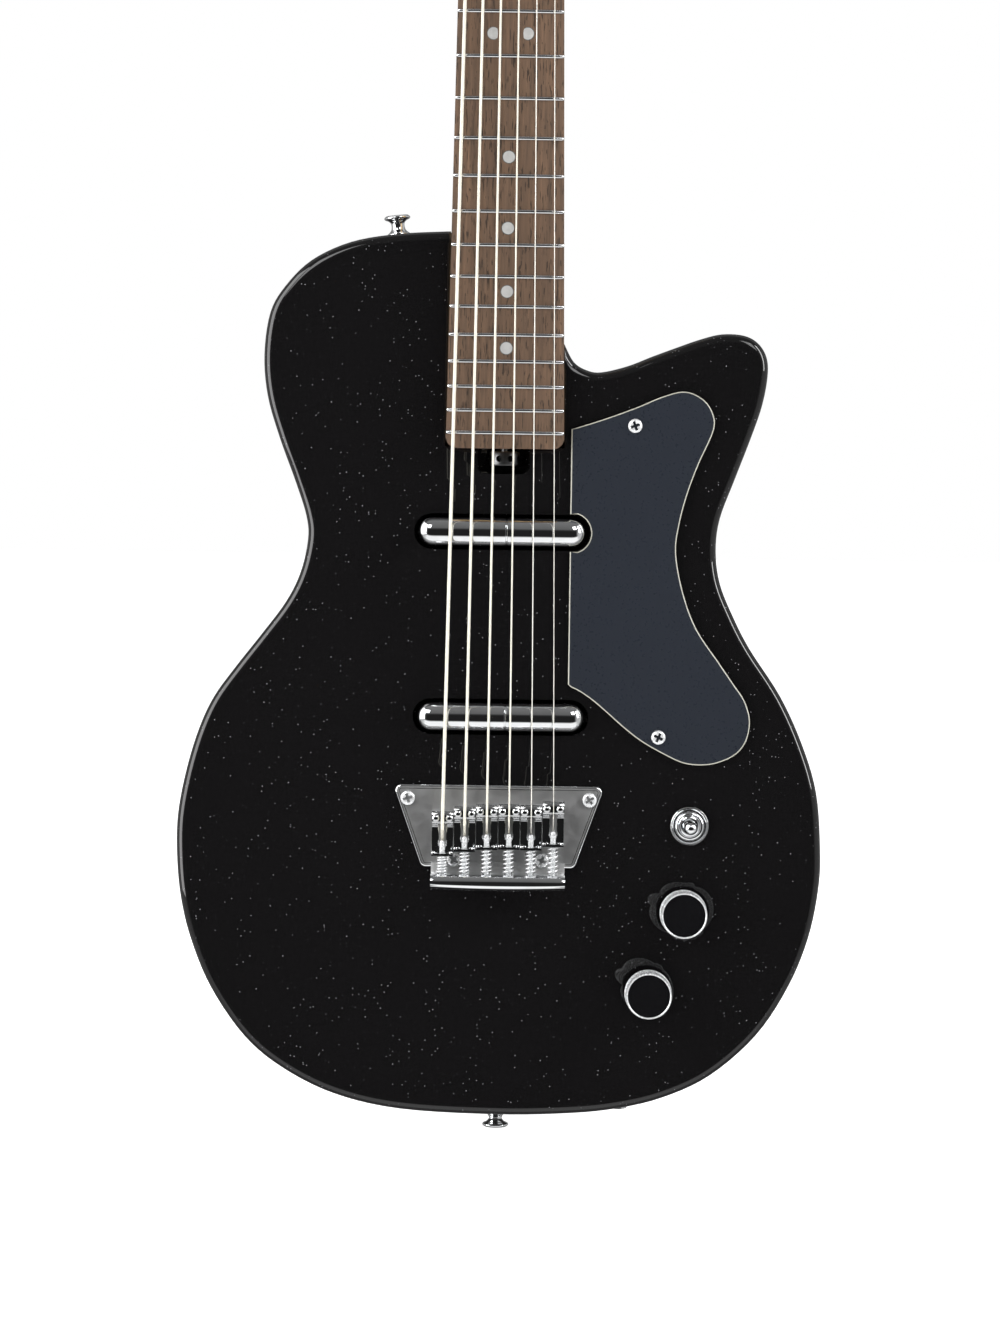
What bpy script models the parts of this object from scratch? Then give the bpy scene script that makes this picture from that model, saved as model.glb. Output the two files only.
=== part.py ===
"""Six-string electric guitar with a long scale, a hollow panelled body and a bolt-on neck.

Frame: the origin is the centre of the tail strap button's outer end. +Z runs up the neck, +X is to the right seen from the front, and the front
faces -Y. Lengths below are millimetres, and every mesh is scaled to metres when it is finished.
"""

import math

import bmesh
import bpy
from mathutils import Matrix, Vector

MM = 0.001
GAP = 0.3

# Body
BODY_THICKNESS = 44.5
TAIL_BUTTON_HEIGHT = 8.8
TAIL_BUTTON_DEPTH = 32.25
SHOULDER_BUTTON_HEIGHT = 10.5
BODY_BOTTOM = TAIL_BUTTON_HEIGHT
EDGE_RADIUS = 5.0
PANEL_THICKNESS = 3.2
RIM_WIDTH = 11.0
BLOCK_HALF_WIDTH = 33.0
FRONT = -TAIL_BUTTON_DEPTH
BACK = FRONT + BODY_THICKNESS
MIDDLE_Y = (FRONT + BACK) / 2

# Strings and neck
SCALE_LENGTH = 755.65
SADDLE_Z = BODY_BOTTOM + 154.9
NUT_Z = SADDLE_Z + SCALE_LENGTH
FRET_COUNT = 24
FRETBOARD_END_Z = SADDLE_Z + 181.0
FRETBOARD_TOP = 8.2
FRETBOARD_THICKNESS = 5.5
FRETBOARD_RADIUS = 355.0
FRET_HEIGHT = 1.1
HALF_WIDTH_AT_END = 29.7
HALF_WIDTH_AT_NUT = 22.0
POCKET_DEPTH = 16.5
NUT_THICKNESS = 3.8
STRING_RADII = (0.87, 0.72, 0.57, 0.42, 0.24, 0.19)
SADDLE_PITCH = 11.1
NUT_PITCH = 7.18
STRING_HEIGHT_AT_SADDLE = 12.7
STRING_HEIGHT_AT_NUT = 9.9

# Headstock
HEADSTOCK_TILT = math.radians(10.0)
HEADSTOCK_THICKNESS = 14.0
HEADSTOCK_LENGTH = 176.0
TUNER_DISTANCES = (58.0, 96.0, 134.0)
GEAR_TEETH = 14
GEAR_RADIUS = 5.4
WORM_RADIUS = 2.4

# Bridge
BRIDGE_THICKNESS = 1.6
TAIL_Z = SADDLE_Z - 32.2
TAIL_HEIGHT = 14.5
TAIL_SHEET = 1.7
TAIL_HALF_WIDTH = 33.6
SADDLE_OFFSETS = (-4.3, -2.0, -0.9, -0.6, -0.8, 1.0)
SCREW_AXIS_HEIGHT = 9.0
SADDLE_LENGTH = 20.5
SADDLE_SHEET = 1.2
SADDLE_BASE_HEIGHT = 6.6

# Pickups
PICKUP_RADIUS = 7.35
PICKUP_LENGTH = 85.8
PICKUP_CENTRES = {"neck_pickup": (-0.8, SADDLE_Z + 139.1), "bridge_pickup": (-0.3, SADDLE_Z + 46.0)}

# Controls
VOLUME_CENTRE = (92.9, SADDLE_Z - 51.0)
TONE_CENTRE = (75.8, SADDLE_Z - 91.4)
SELECTOR_CENTRE = (95.6, SADDLE_Z - 7.4)
KNOB_RADIUS = 11.9
KNOB_HEIGHT = 18.0
JACK_X = 62.0
JACK_SEAT = 6.0


def up(height):
    """Y of a point this high above the body's front face."""
    return FRONT - height


# ------------------------------------------------------------------ materials

def material(name, color, roughness, metallic=0.0):
    made = bpy.data.materials.new(name)
    made.use_nodes = True
    shader = made.node_tree.nodes["Principled BSDF"]
    shader.inputs["Base Color"].default_value = (*color, 1.0)
    shader.inputs["Roughness"].default_value = roughness
    shader.inputs["Metallic"].default_value = metallic
    return made


def make_materials():
    return {
        "black_gloss": material("black_gloss", (0.012, 0.012, 0.014), 0.12),
        "pine": material("pine", (0.62, 0.45, 0.26), 0.6),
        "guard_plastic": material("guard_plastic", (0.045, 0.055, 0.075), 0.35),
        "maple": material("maple", (0.66, 0.46, 0.25), 0.4),
        "rosewood": material("rosewood", (0.20, 0.12, 0.075), 0.5),
        "chrome": material("chrome", (0.75, 0.75, 0.76), 0.08, 1.0),
        "aluminium": material("aluminium", (0.7, 0.7, 0.72), 0.3, 1.0),
        "steel": material("steel", (0.45, 0.45, 0.46), 0.35, 1.0),
        "string_wire": material("string_wire", (0.75, 0.72, 0.66), 0.3, 1.0),
        "black_plastic": material("black_plastic", (0.02, 0.02, 0.022), 0.25),
        "button_plastic": material("button_plastic", (0.8, 0.76, 0.66), 0.3),
        "cable_plastic": material("cable_plastic", (0.03, 0.03, 0.03), 0.6),
    }


# ------------------------------------------------------------------ mesh helpers

def remove_scene_objects():
    for found in list(bpy.data.objects):
        bpy.data.objects.remove(found, do_unlink=True)


def ring_prism(mesh, rings):
    """Joins equal rings of points into a closed tube with flat ends."""
    made = [[mesh.verts.new(point) for point in ring] for ring in rings]
    count = len(made[0])
    for low, high in zip(made, made[1:]):
        for index in range(count):
            after = (index + 1) % count
            mesh.faces.new((low[index], low[after], high[after], high[index]))
    mesh.faces.new(list(reversed(made[0])))
    mesh.faces.new(made[-1])


def prism(mesh, outline, low_y, high_y):
    """Extrudes an outline of (x, z) points from low_y to high_y."""
    ring_prism(mesh, [[(x, y, z) for x, z in outline] for y in (low_y, high_y)])


def box(mesh, low, high):
    corners = [(low[0], low[2]), (high[0], low[2]), (high[0], high[2]), (low[0], high[2])]
    prism(mesh, corners, low[1], high[1])


def turned(mesh, profile, segments=12, matrix=Matrix()):
    """Turns a profile of (radius, height) points about local Z. Radius 0 at an end closes it."""
    start_closed = profile[0][0] == 0
    end_closed = profile[-1][0] == 0
    inner = profile[1 if start_closed else 0:len(profile) - (1 if end_closed else 0)]
    rings = []
    for radius, height in inner:
        ring = []
        for index in range(segments):
            angle = math.tau * index / segments
            point = Vector((radius * math.cos(angle), radius * math.sin(angle), height))
            ring.append(mesh.verts.new(matrix @ point))
        rings.append(ring)
    pairs = list(zip(rings, rings[1:]))
    if not start_closed:
        pairs.append((rings[-1], rings[0]))
    for low, high in pairs:
        for index in range(segments):
            after = (index + 1) % segments
            mesh.faces.new((low[index], low[after], high[after], high[index]))
    if start_closed:
        mesh.faces.new(list(reversed(rings[0])))
        mesh.faces.new(rings[-1])


def rod(mesh, start, end, radius, segments=10):
    """A plain round bar from start to end."""
    start, end = Vector(start), Vector(end)
    turn = (end - start).to_track_quat("Z", "Y").to_matrix().to_4x4()
    length = (end - start).length
    turned(mesh, [(0, 0), (radius, 0), (radius, length), (0, length)], segments,
           Matrix.Translation(start) @ turn)


def tube(mesh, path, radius, sides=6):
    """A round wire along a path, with flat ends, kept from twisting."""
    points = [Vector(point) for point in path]
    side = Vector((1, 0, 0))
    rings = []
    for index, point in enumerate(points):
        before = points[max(index - 1, 0)]
        after = points[min(index + 1, len(points) - 1)]
        along = (after - before).normalized()
        side = (side - along * side.dot(along)).normalized()
        other = along.cross(side)
        rings.append([point + radius * (math.cos(math.tau * k / sides) * side
                                        + math.sin(math.tau * k / sides) * other)
                      for k in range(sides)])
    ring_prism(mesh, rings)


def finish(name, mesh, finish_material, matrix=Matrix(), smooth_degrees=35.0):
    """Turns a bmesh in local millimetres into a named object placed by matrix."""
    bmesh.ops.recalc_face_normals(mesh, faces=mesh.faces)
    bmesh.ops.scale(mesh, vec=(MM, MM, MM), verts=mesh.verts)
    data = bpy.data.meshes.new(name)
    mesh.to_mesh(data)
    mesh.free()
    data.materials.append(finish_material)
    data.shade_smooth()
    data.set_sharp_from_angle(angle=math.radians(smooth_degrees))
    made = bpy.data.objects.new(name, data)
    bpy.context.scene.collection.objects.link(made)
    placed = matrix.copy()
    placed.translation = matrix.translation * MM
    made.matrix_world = placed
    return made


def helper(name, mesh, matrix=Matrix()):
    """A cutter or an addition for a Boolean, left out of the build."""
    data = bpy.data.meshes.new(name)
    bmesh.ops.recalc_face_normals(mesh, faces=mesh.faces)
    bmesh.ops.scale(mesh, vec=(MM, MM, MM), verts=mesh.verts)
    mesh.to_mesh(data)
    mesh.free()
    made = bpy.data.objects.new(name, data)
    bpy.context.scene.collection.objects.link(made)
    placed = matrix.copy()
    placed.translation = matrix.translation * MM
    made.matrix_world = placed
    made.hide_render = True
    made.display_type = "WIRE"
    return made


def boolean(target, other, operation):
    step = target.modifiers.new(other.name, "BOOLEAN")
    step.operation = operation
    step.solver = "EXACT"
    step.object = other


def frame_at(origin, up_axis, side_axis):
    """A placing matrix with local Z along up_axis and local X along side_axis."""
    z = Vector(up_axis).normalized()
    x = Vector(side_axis).normalized()
    y = z.cross(x)
    turn = Matrix((x, y, z)).transposed().to_4x4()
    return Matrix.Translation(Vector(origin)) @ turn


FACING_FRONT = Matrix.Rotation(math.radians(90), 4, "X")


def facing_front(x, z, height=0.0):
    """Local Z points out of the body's front face, at this height above it."""
    return Matrix.Translation((x, up(height), z)) @ FACING_FRONT


# ------------------------------------------------------------------ outlines

def spline(points, steps):
    """A smooth open curve through the points, with this many steps a span."""
    padded = [points[0], *points, points[-1]]
    curve = []
    for a, b, c, d in zip(padded, padded[1:], padded[2:], padded[3:]):
        for index in range(steps):
            t = index / steps
            curve.append(tuple(
                0.5 * (2 * q + (r - p) * t + (2 * p - 5 * q + 4 * r - s) * t * t
                       + (3 * q - p - 3 * r + s) * t ** 3)
                for p, q, r, s in zip(a, b, c, d)))
    curve.append(points[-1])
    return curve


def arc(centre, radius, start_degrees, end_degrees, steps):
    return [(centre[0] + radius * math.cos(math.radians(start_degrees
             + (end_degrees - start_degrees) * k / steps)),
             centre[1] + radius * math.sin(math.radians(start_degrees
             + (end_degrees - start_degrees) * k / steps))) for k in range(steps + 1)]


def rounded_rectangle(low_x, high_x, low_z, high_z, radius, steps=3):
    corners = [((high_x - radius, low_z + radius), 270), ((high_x - radius, high_z - radius), 0),
               ((low_x + radius, high_z - radius), 90), ((low_x + radius, low_z + radius), 180)]
    outline = []
    for centre, start in corners:
        outline += arc(centre, radius, start, start + 90, steps)
    return outline


def slot_outline(centre, half_length, half_width, steps=6):
    """A straight-sided slot with round ends, long way along X."""
    run = half_length - half_width
    right = arc((centre[0] + run, centre[1]), half_width, -90, 90, steps)
    left = arc((centre[0] - run, centre[1]), half_width, 90, 270, steps)
    return right + left


# Body outline, (x, height above the body's lowest point), from the bass shoulder down round
# the bottom and up to where the cutaway meets the neck.
BODY_POINTS = (
    (-30.2, 444.9), (-55.3, 443.3), (-79, 438.9), (-98.6, 429.5), (-111.7, 416.3), (-119.2, 402.7),
    (-121.9, 381.5), (-119.9, 360.7), (-113.5, 339.5), (-105.3, 317.8), (-99.6, 300.6),
    (-98.6, 288.5), (-102.2, 271.8), (-109.3, 257), (-121.3, 240.6), (-133.8, 224.4),
    (-144.9, 208.7), (-152.3, 192.3), (-158.3, 171.5), (-162.2, 149.3), (-162.4, 128.8),
    (-160.2, 107.6), (-154.8, 86.4), (-144.4, 62.2), (-127.3, 38), (-107.8, 22.1), (-81.5, 9.4),
    (-48.3, 2.2), (0, 0), (35.2, 1), (59.6, 3.6), (83.7, 9.5), (107.8, 21.1), (130.8, 41.7),
    (146.7, 66.4), (156.4, 90.9), (161.2, 115.4), (161.9, 135.7), (159.5, 164.2), (152, 188.6),
    (140.7, 212.6), (124.9, 236.3), (116.2, 252.7), (109.4, 269.2), (107.1, 285.5), (108.9, 301.8),
    (116.1, 321.6), (124, 342.7), (129.4, 359), (132, 373.7), (131.4, 383.4), (127, 390.6),
    (119.7, 394.4), (108.6, 394.9), (97.6, 392.1), (85.5, 387.7), (73.5, 383.1), (61.4, 378.2),
    (48.1, 374.9), (40.6, 375.9), (34.1, 380), (29.4, 388.7),
)
TONGUE_EDGE_X = 28.6
TONGUE_CORNER_RADIUS = 8.0


def body_outline():
    """The closed outline, in world (x, z), running down the bass side first."""
    low = BODY_BOTTOM
    curve = [(x, z + low) for x, z in spline(BODY_POINTS, 2)]
    top = BODY_POINTS[0][1] + low
    corner = arc((TONGUE_EDGE_X - TONGUE_CORNER_RADIUS, top - TONGUE_CORNER_RADIUS),
                 TONGUE_CORNER_RADIUS, 0, 90, 4)
    edge = [(TONGUE_EDGE_X, low + 402.0), (TONGUE_EDGE_X, low + 419.0)]
    return curve + edge + corner + [(0.0, top)]


def inset(outline, distance):
    """Moves every point of the closed outline inwards by this distance."""
    moved = []
    count = len(outline)
    for index, (x, z) in enumerate(outline):
        before = outline[index - 1]
        after = outline[(index + 1) % count]
        along = Vector((after[0] - before[0], after[1] - before[1])).normalized()
        moved.append((x - along.y * distance, z + along.x * distance))
    return moved


def chamber_outline(outline, side):
    """The hollow wing on one side of the centre block (side is -1 bass, +1 treble)."""
    inner = inset(outline, RIM_WIDTH)
    wing = [(x, z) for x, z in inner if x * side > BLOCK_HALF_WIDTH + 1.0]
    first, last = wing[0], wing[-1]
    edge = side * BLOCK_HALF_WIDTH
    return wing + [(edge, last[1]), (edge, first[1])]


def neck_half_width(z):
    share = (z - FRETBOARD_END_Z) / (NUT_Z - FRETBOARD_END_Z)
    return HALF_WIDTH_AT_END + (HALF_WIDTH_AT_NUT - HALF_WIDTH_AT_END) * share


def bent_sheet(line, thickness):
    """The outline of a sheet of this thickness bent along a line of (height, z) points."""
    sides = ([], [])
    for index, point in enumerate(line):
        before = Vector(line[max(index - 1, 0)])
        after = Vector(line[min(index + 1, len(line) - 1)])
        here = Vector(point)
        ahead = (after - here).normalized() if after != here else (here - before).normalized()
        behind = (here - before).normalized() if before != here else ahead
        normal = Vector((-(ahead + behind).y, (ahead + behind).x)).normalized()
        reach = thickness / 2 / max(normal.dot(Vector((-ahead.y, ahead.x))), 0.4)
        for side, points in zip((-1, 1), sides):
            moved = here + normal * side * reach
            points.append((moved.x, moved.y))
    return sides[0] + list(reversed(sides[1]))


def upper_rim_point(outline, target_x):
    """The point of the upper edge nearest to x, and its outward direction."""
    upper = [k for k in range(len(outline)) if outline[k][1] > BODY_BOTTOM + 220]
    index = min(upper, key=lambda k: abs(outline[k][0] - target_x))
    before, after = outline[index - 1], outline[(index + 1) % len(outline)]
    along = Vector((after[0] - before[0], after[1] - before[1])).normalized()
    return outline[index], (along.y, -along.x)


# ------------------------------------------------------------------ shared cutters

def pocket_prism(mesh, front_y, floor_y):
    """The neck pocket with the truss wheel's well below it."""
    low = FRETBOARD_END_Z + 0.7
    high = BODY_BOTTOM + 450.0
    clearance = 0.4
    low_half = neck_half_width(low) + clearance
    high_half = neck_half_width(high) + clearance
    prism(mesh, [(-low_half, low), (low_half, low), (high_half, high), (-high_half, high)],
          front_y, floor_y)


def well_prism(mesh, front_y, floor_y):
    bottom = SADDLE_Z + 168.3
    prism(mesh, rounded_rectangle(-13.5, 12.6, bottom, FRETBOARD_END_Z + 6.0, 3.5),
          front_y, floor_y)


def pickup_slots(mesh, low_y, high_y):
    for centre in PICKUP_CENTRES.values():
        prism(mesh, slot_outline(centre, PICKUP_LENGTH / 2 + 2.0, PICKUP_RADIUS + 1.7),
              low_y, high_y)


BRIDGE_CENTRE_X = -0.6
BRIDGE_SCREWS = ((BRIDGE_CENTRE_X - 45.7, SADDLE_Z + 4.9), (BRIDGE_CENTRE_X + 45.7, SADDLE_Z + 4.9),
                 (BRIDGE_CENTRE_X - 22.0, SADDLE_Z - 25.7), (BRIDGE_CENTRE_X + 22.0, SADDLE_Z - 25.7))
GUARD_SCREWS = ((65.4, SADDLE_Z + 193.4), (79.2, SADDLE_Z + 37.0))
NECK_PLATE_CENTRE_Z = SADDLE_Z + 244.0
NECK_SCREWS = tuple((x, NECK_PLATE_CENTRE_Z + z) for x in (-19.0, 19.0) for z in (-25.5, 25.5))
NECK_SCREW_RADIUS = 2.1
NECK_SCREW_REACH = 34.0


def round_hole(mesh, x, z, radius, low_y, high_y, segments=10):
    rod(mesh, (x, high_y, z), (x, low_y, z), radius, segments)


# ------------------------------------------------------------------ body

def panel_rings(outline, outer_y, inward):
    """Rings from the outer face to the inner face, following the rounded edge."""
    rings = []
    for depth in (0.0, 0.7, 1.9, PANEL_THICKNESS):
        left = EDGE_RADIUS - depth
        step_in = EDGE_RADIUS - math.sqrt(EDGE_RADIUS ** 2 - left ** 2)
        rings.append([(x, outer_y + inward * depth, z) for x, z in inset(outline, step_in)])
    return rings


def make_top_panel(finishes, outline):
    mesh = bmesh.new()
    ring_prism(mesh, panel_rings(outline, FRONT, 1))
    panel = finish("top_panel", mesh, finishes["black_gloss"])
    cuts = bmesh.new()
    low, high = FRONT - 2.0, FRONT + PANEL_THICKNESS + 2.0
    pocket_prism(cuts, low, high)
    pickup_slots(cuts, low, high)
    for x, z in (VOLUME_CENTRE, TONE_CENTRE):
        round_hole(cuts, x, z, 4.4, low, high)
    round_hole(cuts, *SELECTOR_CENTRE, 6.4, low, high, 12)
    for x, z in GUARD_SCREWS:
        round_hole(cuts, x, z, 1.8, low, high, 6)
    for x, z in BRIDGE_SCREWS:
        round_hole(cuts, x, z, 2.2, low, high, 6)
    boolean(panel, helper("top_panel_cuts", cuts), "DIFFERENCE")
    well = bmesh.new()
    well_prism(well, low, high)
    boolean(panel, helper("top_panel_well", well), "DIFFERENCE")
    return panel


def make_back_panel(finishes, outline):
    mesh = bmesh.new()
    ring_prism(mesh, panel_rings(outline, BACK, -1))
    panel = finish("back_panel", mesh, finishes["black_gloss"])
    cuts = bmesh.new()
    for x, z in NECK_SCREWS:
        round_hole(cuts, x, z, NECK_SCREW_RADIUS + 0.5, BACK - PANEL_THICKNESS - 2, BACK + 2, 8)
    boolean(panel, helper("back_panel_cuts", cuts), "DIFFERENCE")
    return panel


def make_body_frame(finishes, outline, jack_matrix, button_matrices):
    low = FRONT + PANEL_THICKNESS + GAP
    high = BACK - PANEL_THICKNESS - GAP
    mesh = bmesh.new()
    prism(mesh, outline, low, high)
    frame = finish("body_frame", mesh, finishes["pine"])
    wings = bmesh.new()
    for side in (-1, 1):
        prism(wings, chamber_outline(outline, side), low - 2, high + 2)
    boolean(frame, helper("chambers", wings), "DIFFERENCE")
    pocket = bmesh.new()
    pocket_prism(pocket, low - 2, FRONT + POCKET_DEPTH)
    boolean(frame, helper("neck_pocket", pocket), "DIFFERENCE")
    routs = bmesh.new()
    well_prism(routs, low - 2, FRONT + POCKET_DEPTH + 0.5)
    for x, z in PICKUP_CENTRES.values():
        box(routs, (x - 46, low - 2, z - 9.2), (x + 46, FRONT + 17.0, z + 9.2))
    for x, z in BRIDGE_SCREWS:
        if abs(x) < BLOCK_HALF_WIDTH:
            round_hole(routs, x, z, 2.2, low - 2, FRONT + 19.0, 6)
    boolean(frame, helper("routs", routs), "DIFFERENCE")
    holes = bmesh.new()
    for x, z in NECK_SCREWS:
        round_hole(holes, x, z, NECK_SCREW_RADIUS + 0.5, FRONT + 10, high + 2, 8)
    turned(holes, [(0, -25), (5.3, -25), (5.3, 0), (8.0, 0), (8.0, 12), (0, 12)], 12, jack_matrix)
    for matrix in button_matrices:
        turned(holes, [(0, -9.5), (2.1, -9.5), (2.1, 6), (0, 6)], 8, matrix)
    boolean(frame, helper("frame_holes", holes), "DIFFERENCE")
    return frame


# Pickguard outline, (x, z above the saddle line), from its top left corner round the treble
# side to its lower left corner.
GUARD_POINTS = (
    (33.4, 191.3), (49.6, 196.6), (65.6, 202.6), (79.1, 208.4), (90.6, 211), (100.2, 206.6),
    (104.9, 198.7), (104.5, 190.5), (97.7, 174.9), (92.4, 160.3), (88.5, 145.2), (86.8, 130),
    (90.6, 110), (97.6, 91.8), (109.1, 75.1), (116.8, 64.1), (122.3, 56), (125.1, 46.2),
    (123.5, 36.1), (118.3, 29), (109.9, 24.8), (101.8, 23.3), (92.3, 24.1), (83.2, 27.9),
    (71.5, 34.3), (62.4, 41), (53.7, 48.5), (46.1, 54.9), (39.5, 59.4), (35, 61.6),
)
GUARD_THICKNESS = 2.2
GUARD_BEVEL = 1.1


def guard_outline():
    edge = [(x, z + SADDLE_Z) for x, z in spline(GUARD_POINTS, 2)]
    notch_x, notch_z = PICKUP_CENTRES["neck_pickup"]
    notch_centre = (notch_x + PICKUP_LENGTH / 2 - PICKUP_RADIUS, notch_z)
    notch = arc(notch_centre, PICKUP_RADIUS + 2.6, -72, 72, 8)
    low_left = [(33.4, SADDLE_Z + 63.0)]
    # The edge runs down the treble side, so the straight left side comes back up last.
    return edge + low_left + [(33.4, notch[0][1])] + notch + [(33.4, notch[-1][1])]


def make_pickguard(finishes):
    outline = list(reversed(guard_outline()))
    mesh = bmesh.new()
    rings = []
    for height, step_in in ((GAP, 0.0), (1.0, 0.0), (GUARD_THICKNESS + GAP, GUARD_BEVEL)):
        rings.append([(x, up(height), z) for x, z in inset(outline, step_in)])
    ring_prism(mesh, rings)
    guard = finish("pickguard", mesh, finishes["guard_plastic"])
    cuts = bmesh.new()
    for x, z in GUARD_SCREWS:
        round_hole(cuts, x, z, 1.9, up(5), up(-1), 8)
    boolean(guard, helper("pickguard_holes", cuts), "DIFFERENCE")
    return guard


def domed_screw(name, finish_material, x, z, seat, head_radius, shank_radius, reach):
    """A domed head on a shank that points into the body."""
    mesh = bmesh.new()
    turned(mesh, [(0, -reach), (shank_radius, -reach), (shank_radius, GAP), (head_radius, GAP),
                  (head_radius * 0.93, 1.0), (head_radius * 0.6, 1.8), (0, 1.8)], 12)
    return finish(name, mesh, finish_material, facing_front(x, z, seat))


# ------------------------------------------------------------------ neck

def neck_ring(z, front, half, depth, power, steps=9):
    """A section: a flat front and a back curve that is boxy where power is high."""
    ring = [(-half, front, z), (half, front, z)]
    for index in range(1, steps):
        angle = math.pi * index / steps
        x = half * math.copysign(abs(math.cos(angle)) ** (2 / power), math.cos(angle))
        y = front + depth * (0.12 + 0.88 * math.sin(angle) ** (2 / power))
        ring.append((x, y, z))
    return ring


def headstock_point(x, distance, height):
    """World point of the headstock: distance along its face from the nut, height above it."""
    start = Vector((0, up(2.0), NUT_Z + NUT_THICKNESS + 0.6))
    along = Vector((0, math.sin(HEADSTOCK_TILT), math.cos(HEADSTOCK_TILT)))
    out = Vector((0, -math.cos(HEADSTOCK_TILT), math.sin(HEADSTOCK_TILT)))
    return start + Vector((x, 0, 0)) + along * distance + out * height


def headstock_frame(x, distance, height, up_axis="out"):
    origin = headstock_point(x, distance, height)
    out = headstock_point(x, distance, height + 1) - origin
    if up_axis == "out":
        return frame_at(origin, out, (1, 0, 0))
    side = (1, 0, 0) if up_axis == "right" else (-1, 0, 0)
    return frame_at(origin, side, out)


HEADSTOCK_POINTS = ((22.2, 0), (22.8, 8), (26.5, 20), (33, 33), (36.3, 46), (37.3, 65), (38.6, 105),
                    (40.2, 142), (40.4, 157), (37.5, 166), (29, 170.5), (15, 173.8),
                    (0, HEADSTOCK_LENGTH))


def headstock_outline():
    right = spline(HEADSTOCK_POINTS, 2)
    left = [(-x, z) for x, z in reversed(right[:-1])]
    return right + left


TUNER_X = 27.0


def make_neck(finishes):
    front = up(FRETBOARD_TOP - FRETBOARD_THICKNESS - GAP)
    heel = POCKET_DEPTH - GAP + (FRONT - front)
    end = FRETBOARD_END_Z + 1.2
    top = BODY_BOTTOM + BODY_POINTS[0][1]
    sections = [(end, heel, 9.0), (top + 2, heel, 9.0), (top + 10, heel - 1.0, 4.5),
                (top + 22, 18.2, 2.9), (top + 40, 17.6, 2.4), (top + 220, 16.8, 2.3),
                (NUT_Z - 12, 15.0, 2.3), (NUT_Z + NUT_THICKNESS + 0.4, 16.0, 2.6)]
    rings = [neck_ring(z, front, neck_half_width(z) - 0.1, depth, power)
             for z, depth, power in sections]
    tail_z = NUT_Z + NUT_THICKNESS + 14.0
    rings.append(neck_ring(tail_z, front + 5.0, 20.0, 9.0, 3.0))
    mesh = bmesh.new()
    ring_prism(mesh, rings)
    neck = finish("neck", mesh, finishes["maple"])
    plate = bmesh.new()
    outline = headstock_outline()
    ring_prism(plate, [[headstock_point(x, s, h) for x, s in outline]
                       for h in (0.0, -HEADSTOCK_THICKNESS)])
    boolean(neck, helper("headstock", plate), "UNION")
    cuts = bmesh.new()
    for side in (-1, 1):
        for distance in TUNER_DISTANCES:
            turned(cuts, [(0, -20), (4.2, -20), (4.2, 5), (0, 5)], 10,
                   headstock_frame(side * TUNER_X, distance, 0))
    channel_low = (-3.4, front - 1, end - 5)
    channel_high = (3.4, FRONT + 9.7, NUT_Z - 25)
    box(cuts, channel_low, channel_high)
    for x, z in NECK_SCREWS:
        round_hole(cuts, x, z, NECK_SCREW_RADIUS + 0.5, FRONT + POCKET_DEPTH - 13,
                   FRONT + POCKET_DEPTH + 3, 8)
    boolean(neck, helper("neck_holes", cuts), "DIFFERENCE")
    return neck


def fret_z(number):
    return NUT_Z - SCALE_LENGTH * (1 - 2 ** (-number / 12))


def board_ring(z, half, lift):
    """A fretboard section: flat below, crowned above, raised by lift at a fret."""
    below = up(FRETBOARD_TOP - FRETBOARD_THICKNESS)
    ring = [(half, below, z), (-half, below, z)]
    for share in (-1.0, -0.5, 0.0, 0.5, 1.0):
        x = half * share
        drop = x * x / (2 * FRETBOARD_RADIUS)
        ring.append((x, up(FRETBOARD_TOP - drop + lift), z))
    return ring


def make_fretboard(finishes):
    corner = 6.0
    rings = []
    for step in (0.0, 0.8, 2.4, corner):
        half = neck_half_width(FRETBOARD_END_Z) - corner
        half += math.sqrt(corner ** 2 - (corner - step) ** 2) + 0.2
        rings.append(board_ring(FRETBOARD_END_Z + step, half, 0.0))
    for number in range(FRET_COUNT, 0, -1):
        z = fret_z(number)
        for shift, lift in ((-1.3, 0.0), (0.0, FRET_HEIGHT), (1.3, 0.0)):
            if z + shift > FRETBOARD_END_Z + corner:
                rings.append(board_ring(z + shift, neck_half_width(z + shift), lift))
    rings.append(board_ring(NUT_Z - GAP, neck_half_width(NUT_Z), 0.0))
    mesh = bmesh.new()
    ring_prism(mesh, rings)
    return finish("fretboard", mesh, finishes["rosewood"], smooth_degrees=20.0)


def string_x_at_nut(index):
    return -0.45 + (index - 2.5) * NUT_PITCH


def string_x_at_saddle(index):
    return -0.8 + (index - 2.5) * SADDLE_PITCH


def make_nut(finishes):
    mesh = bmesh.new()
    low = up(FRETBOARD_TOP - FRETBOARD_THICKNESS)
    high = up(STRING_HEIGHT_AT_NUT + 0.5)
    half = neck_half_width(NUT_Z) - 0.2
    box(mesh, (-half, high, NUT_Z), (half, low, NUT_Z + NUT_THICKNESS))
    nut = finish("nut", mesh, finishes["aluminium"])
    cuts = bmesh.new()
    for index, radius in enumerate(STRING_RADII):
        x = string_x_at_nut(index)
        width = radius + 0.35
        floor = up(STRING_HEIGHT_AT_NUT - radius - 0.75)
        box(cuts, (x - width, high - 2, NUT_Z - 2), (x + width, floor, NUT_Z + NUT_THICKNESS + 2))
    boolean(nut, helper("nut_slots", cuts), "DIFFERENCE")
    return nut


TRUSS_Y = FRONT + 6.3
WHEEL_Z = SADDLE_Z + 172.4
WHEEL_THICKNESS = 7.2
WHEEL_RADIUS = 7.7


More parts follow.
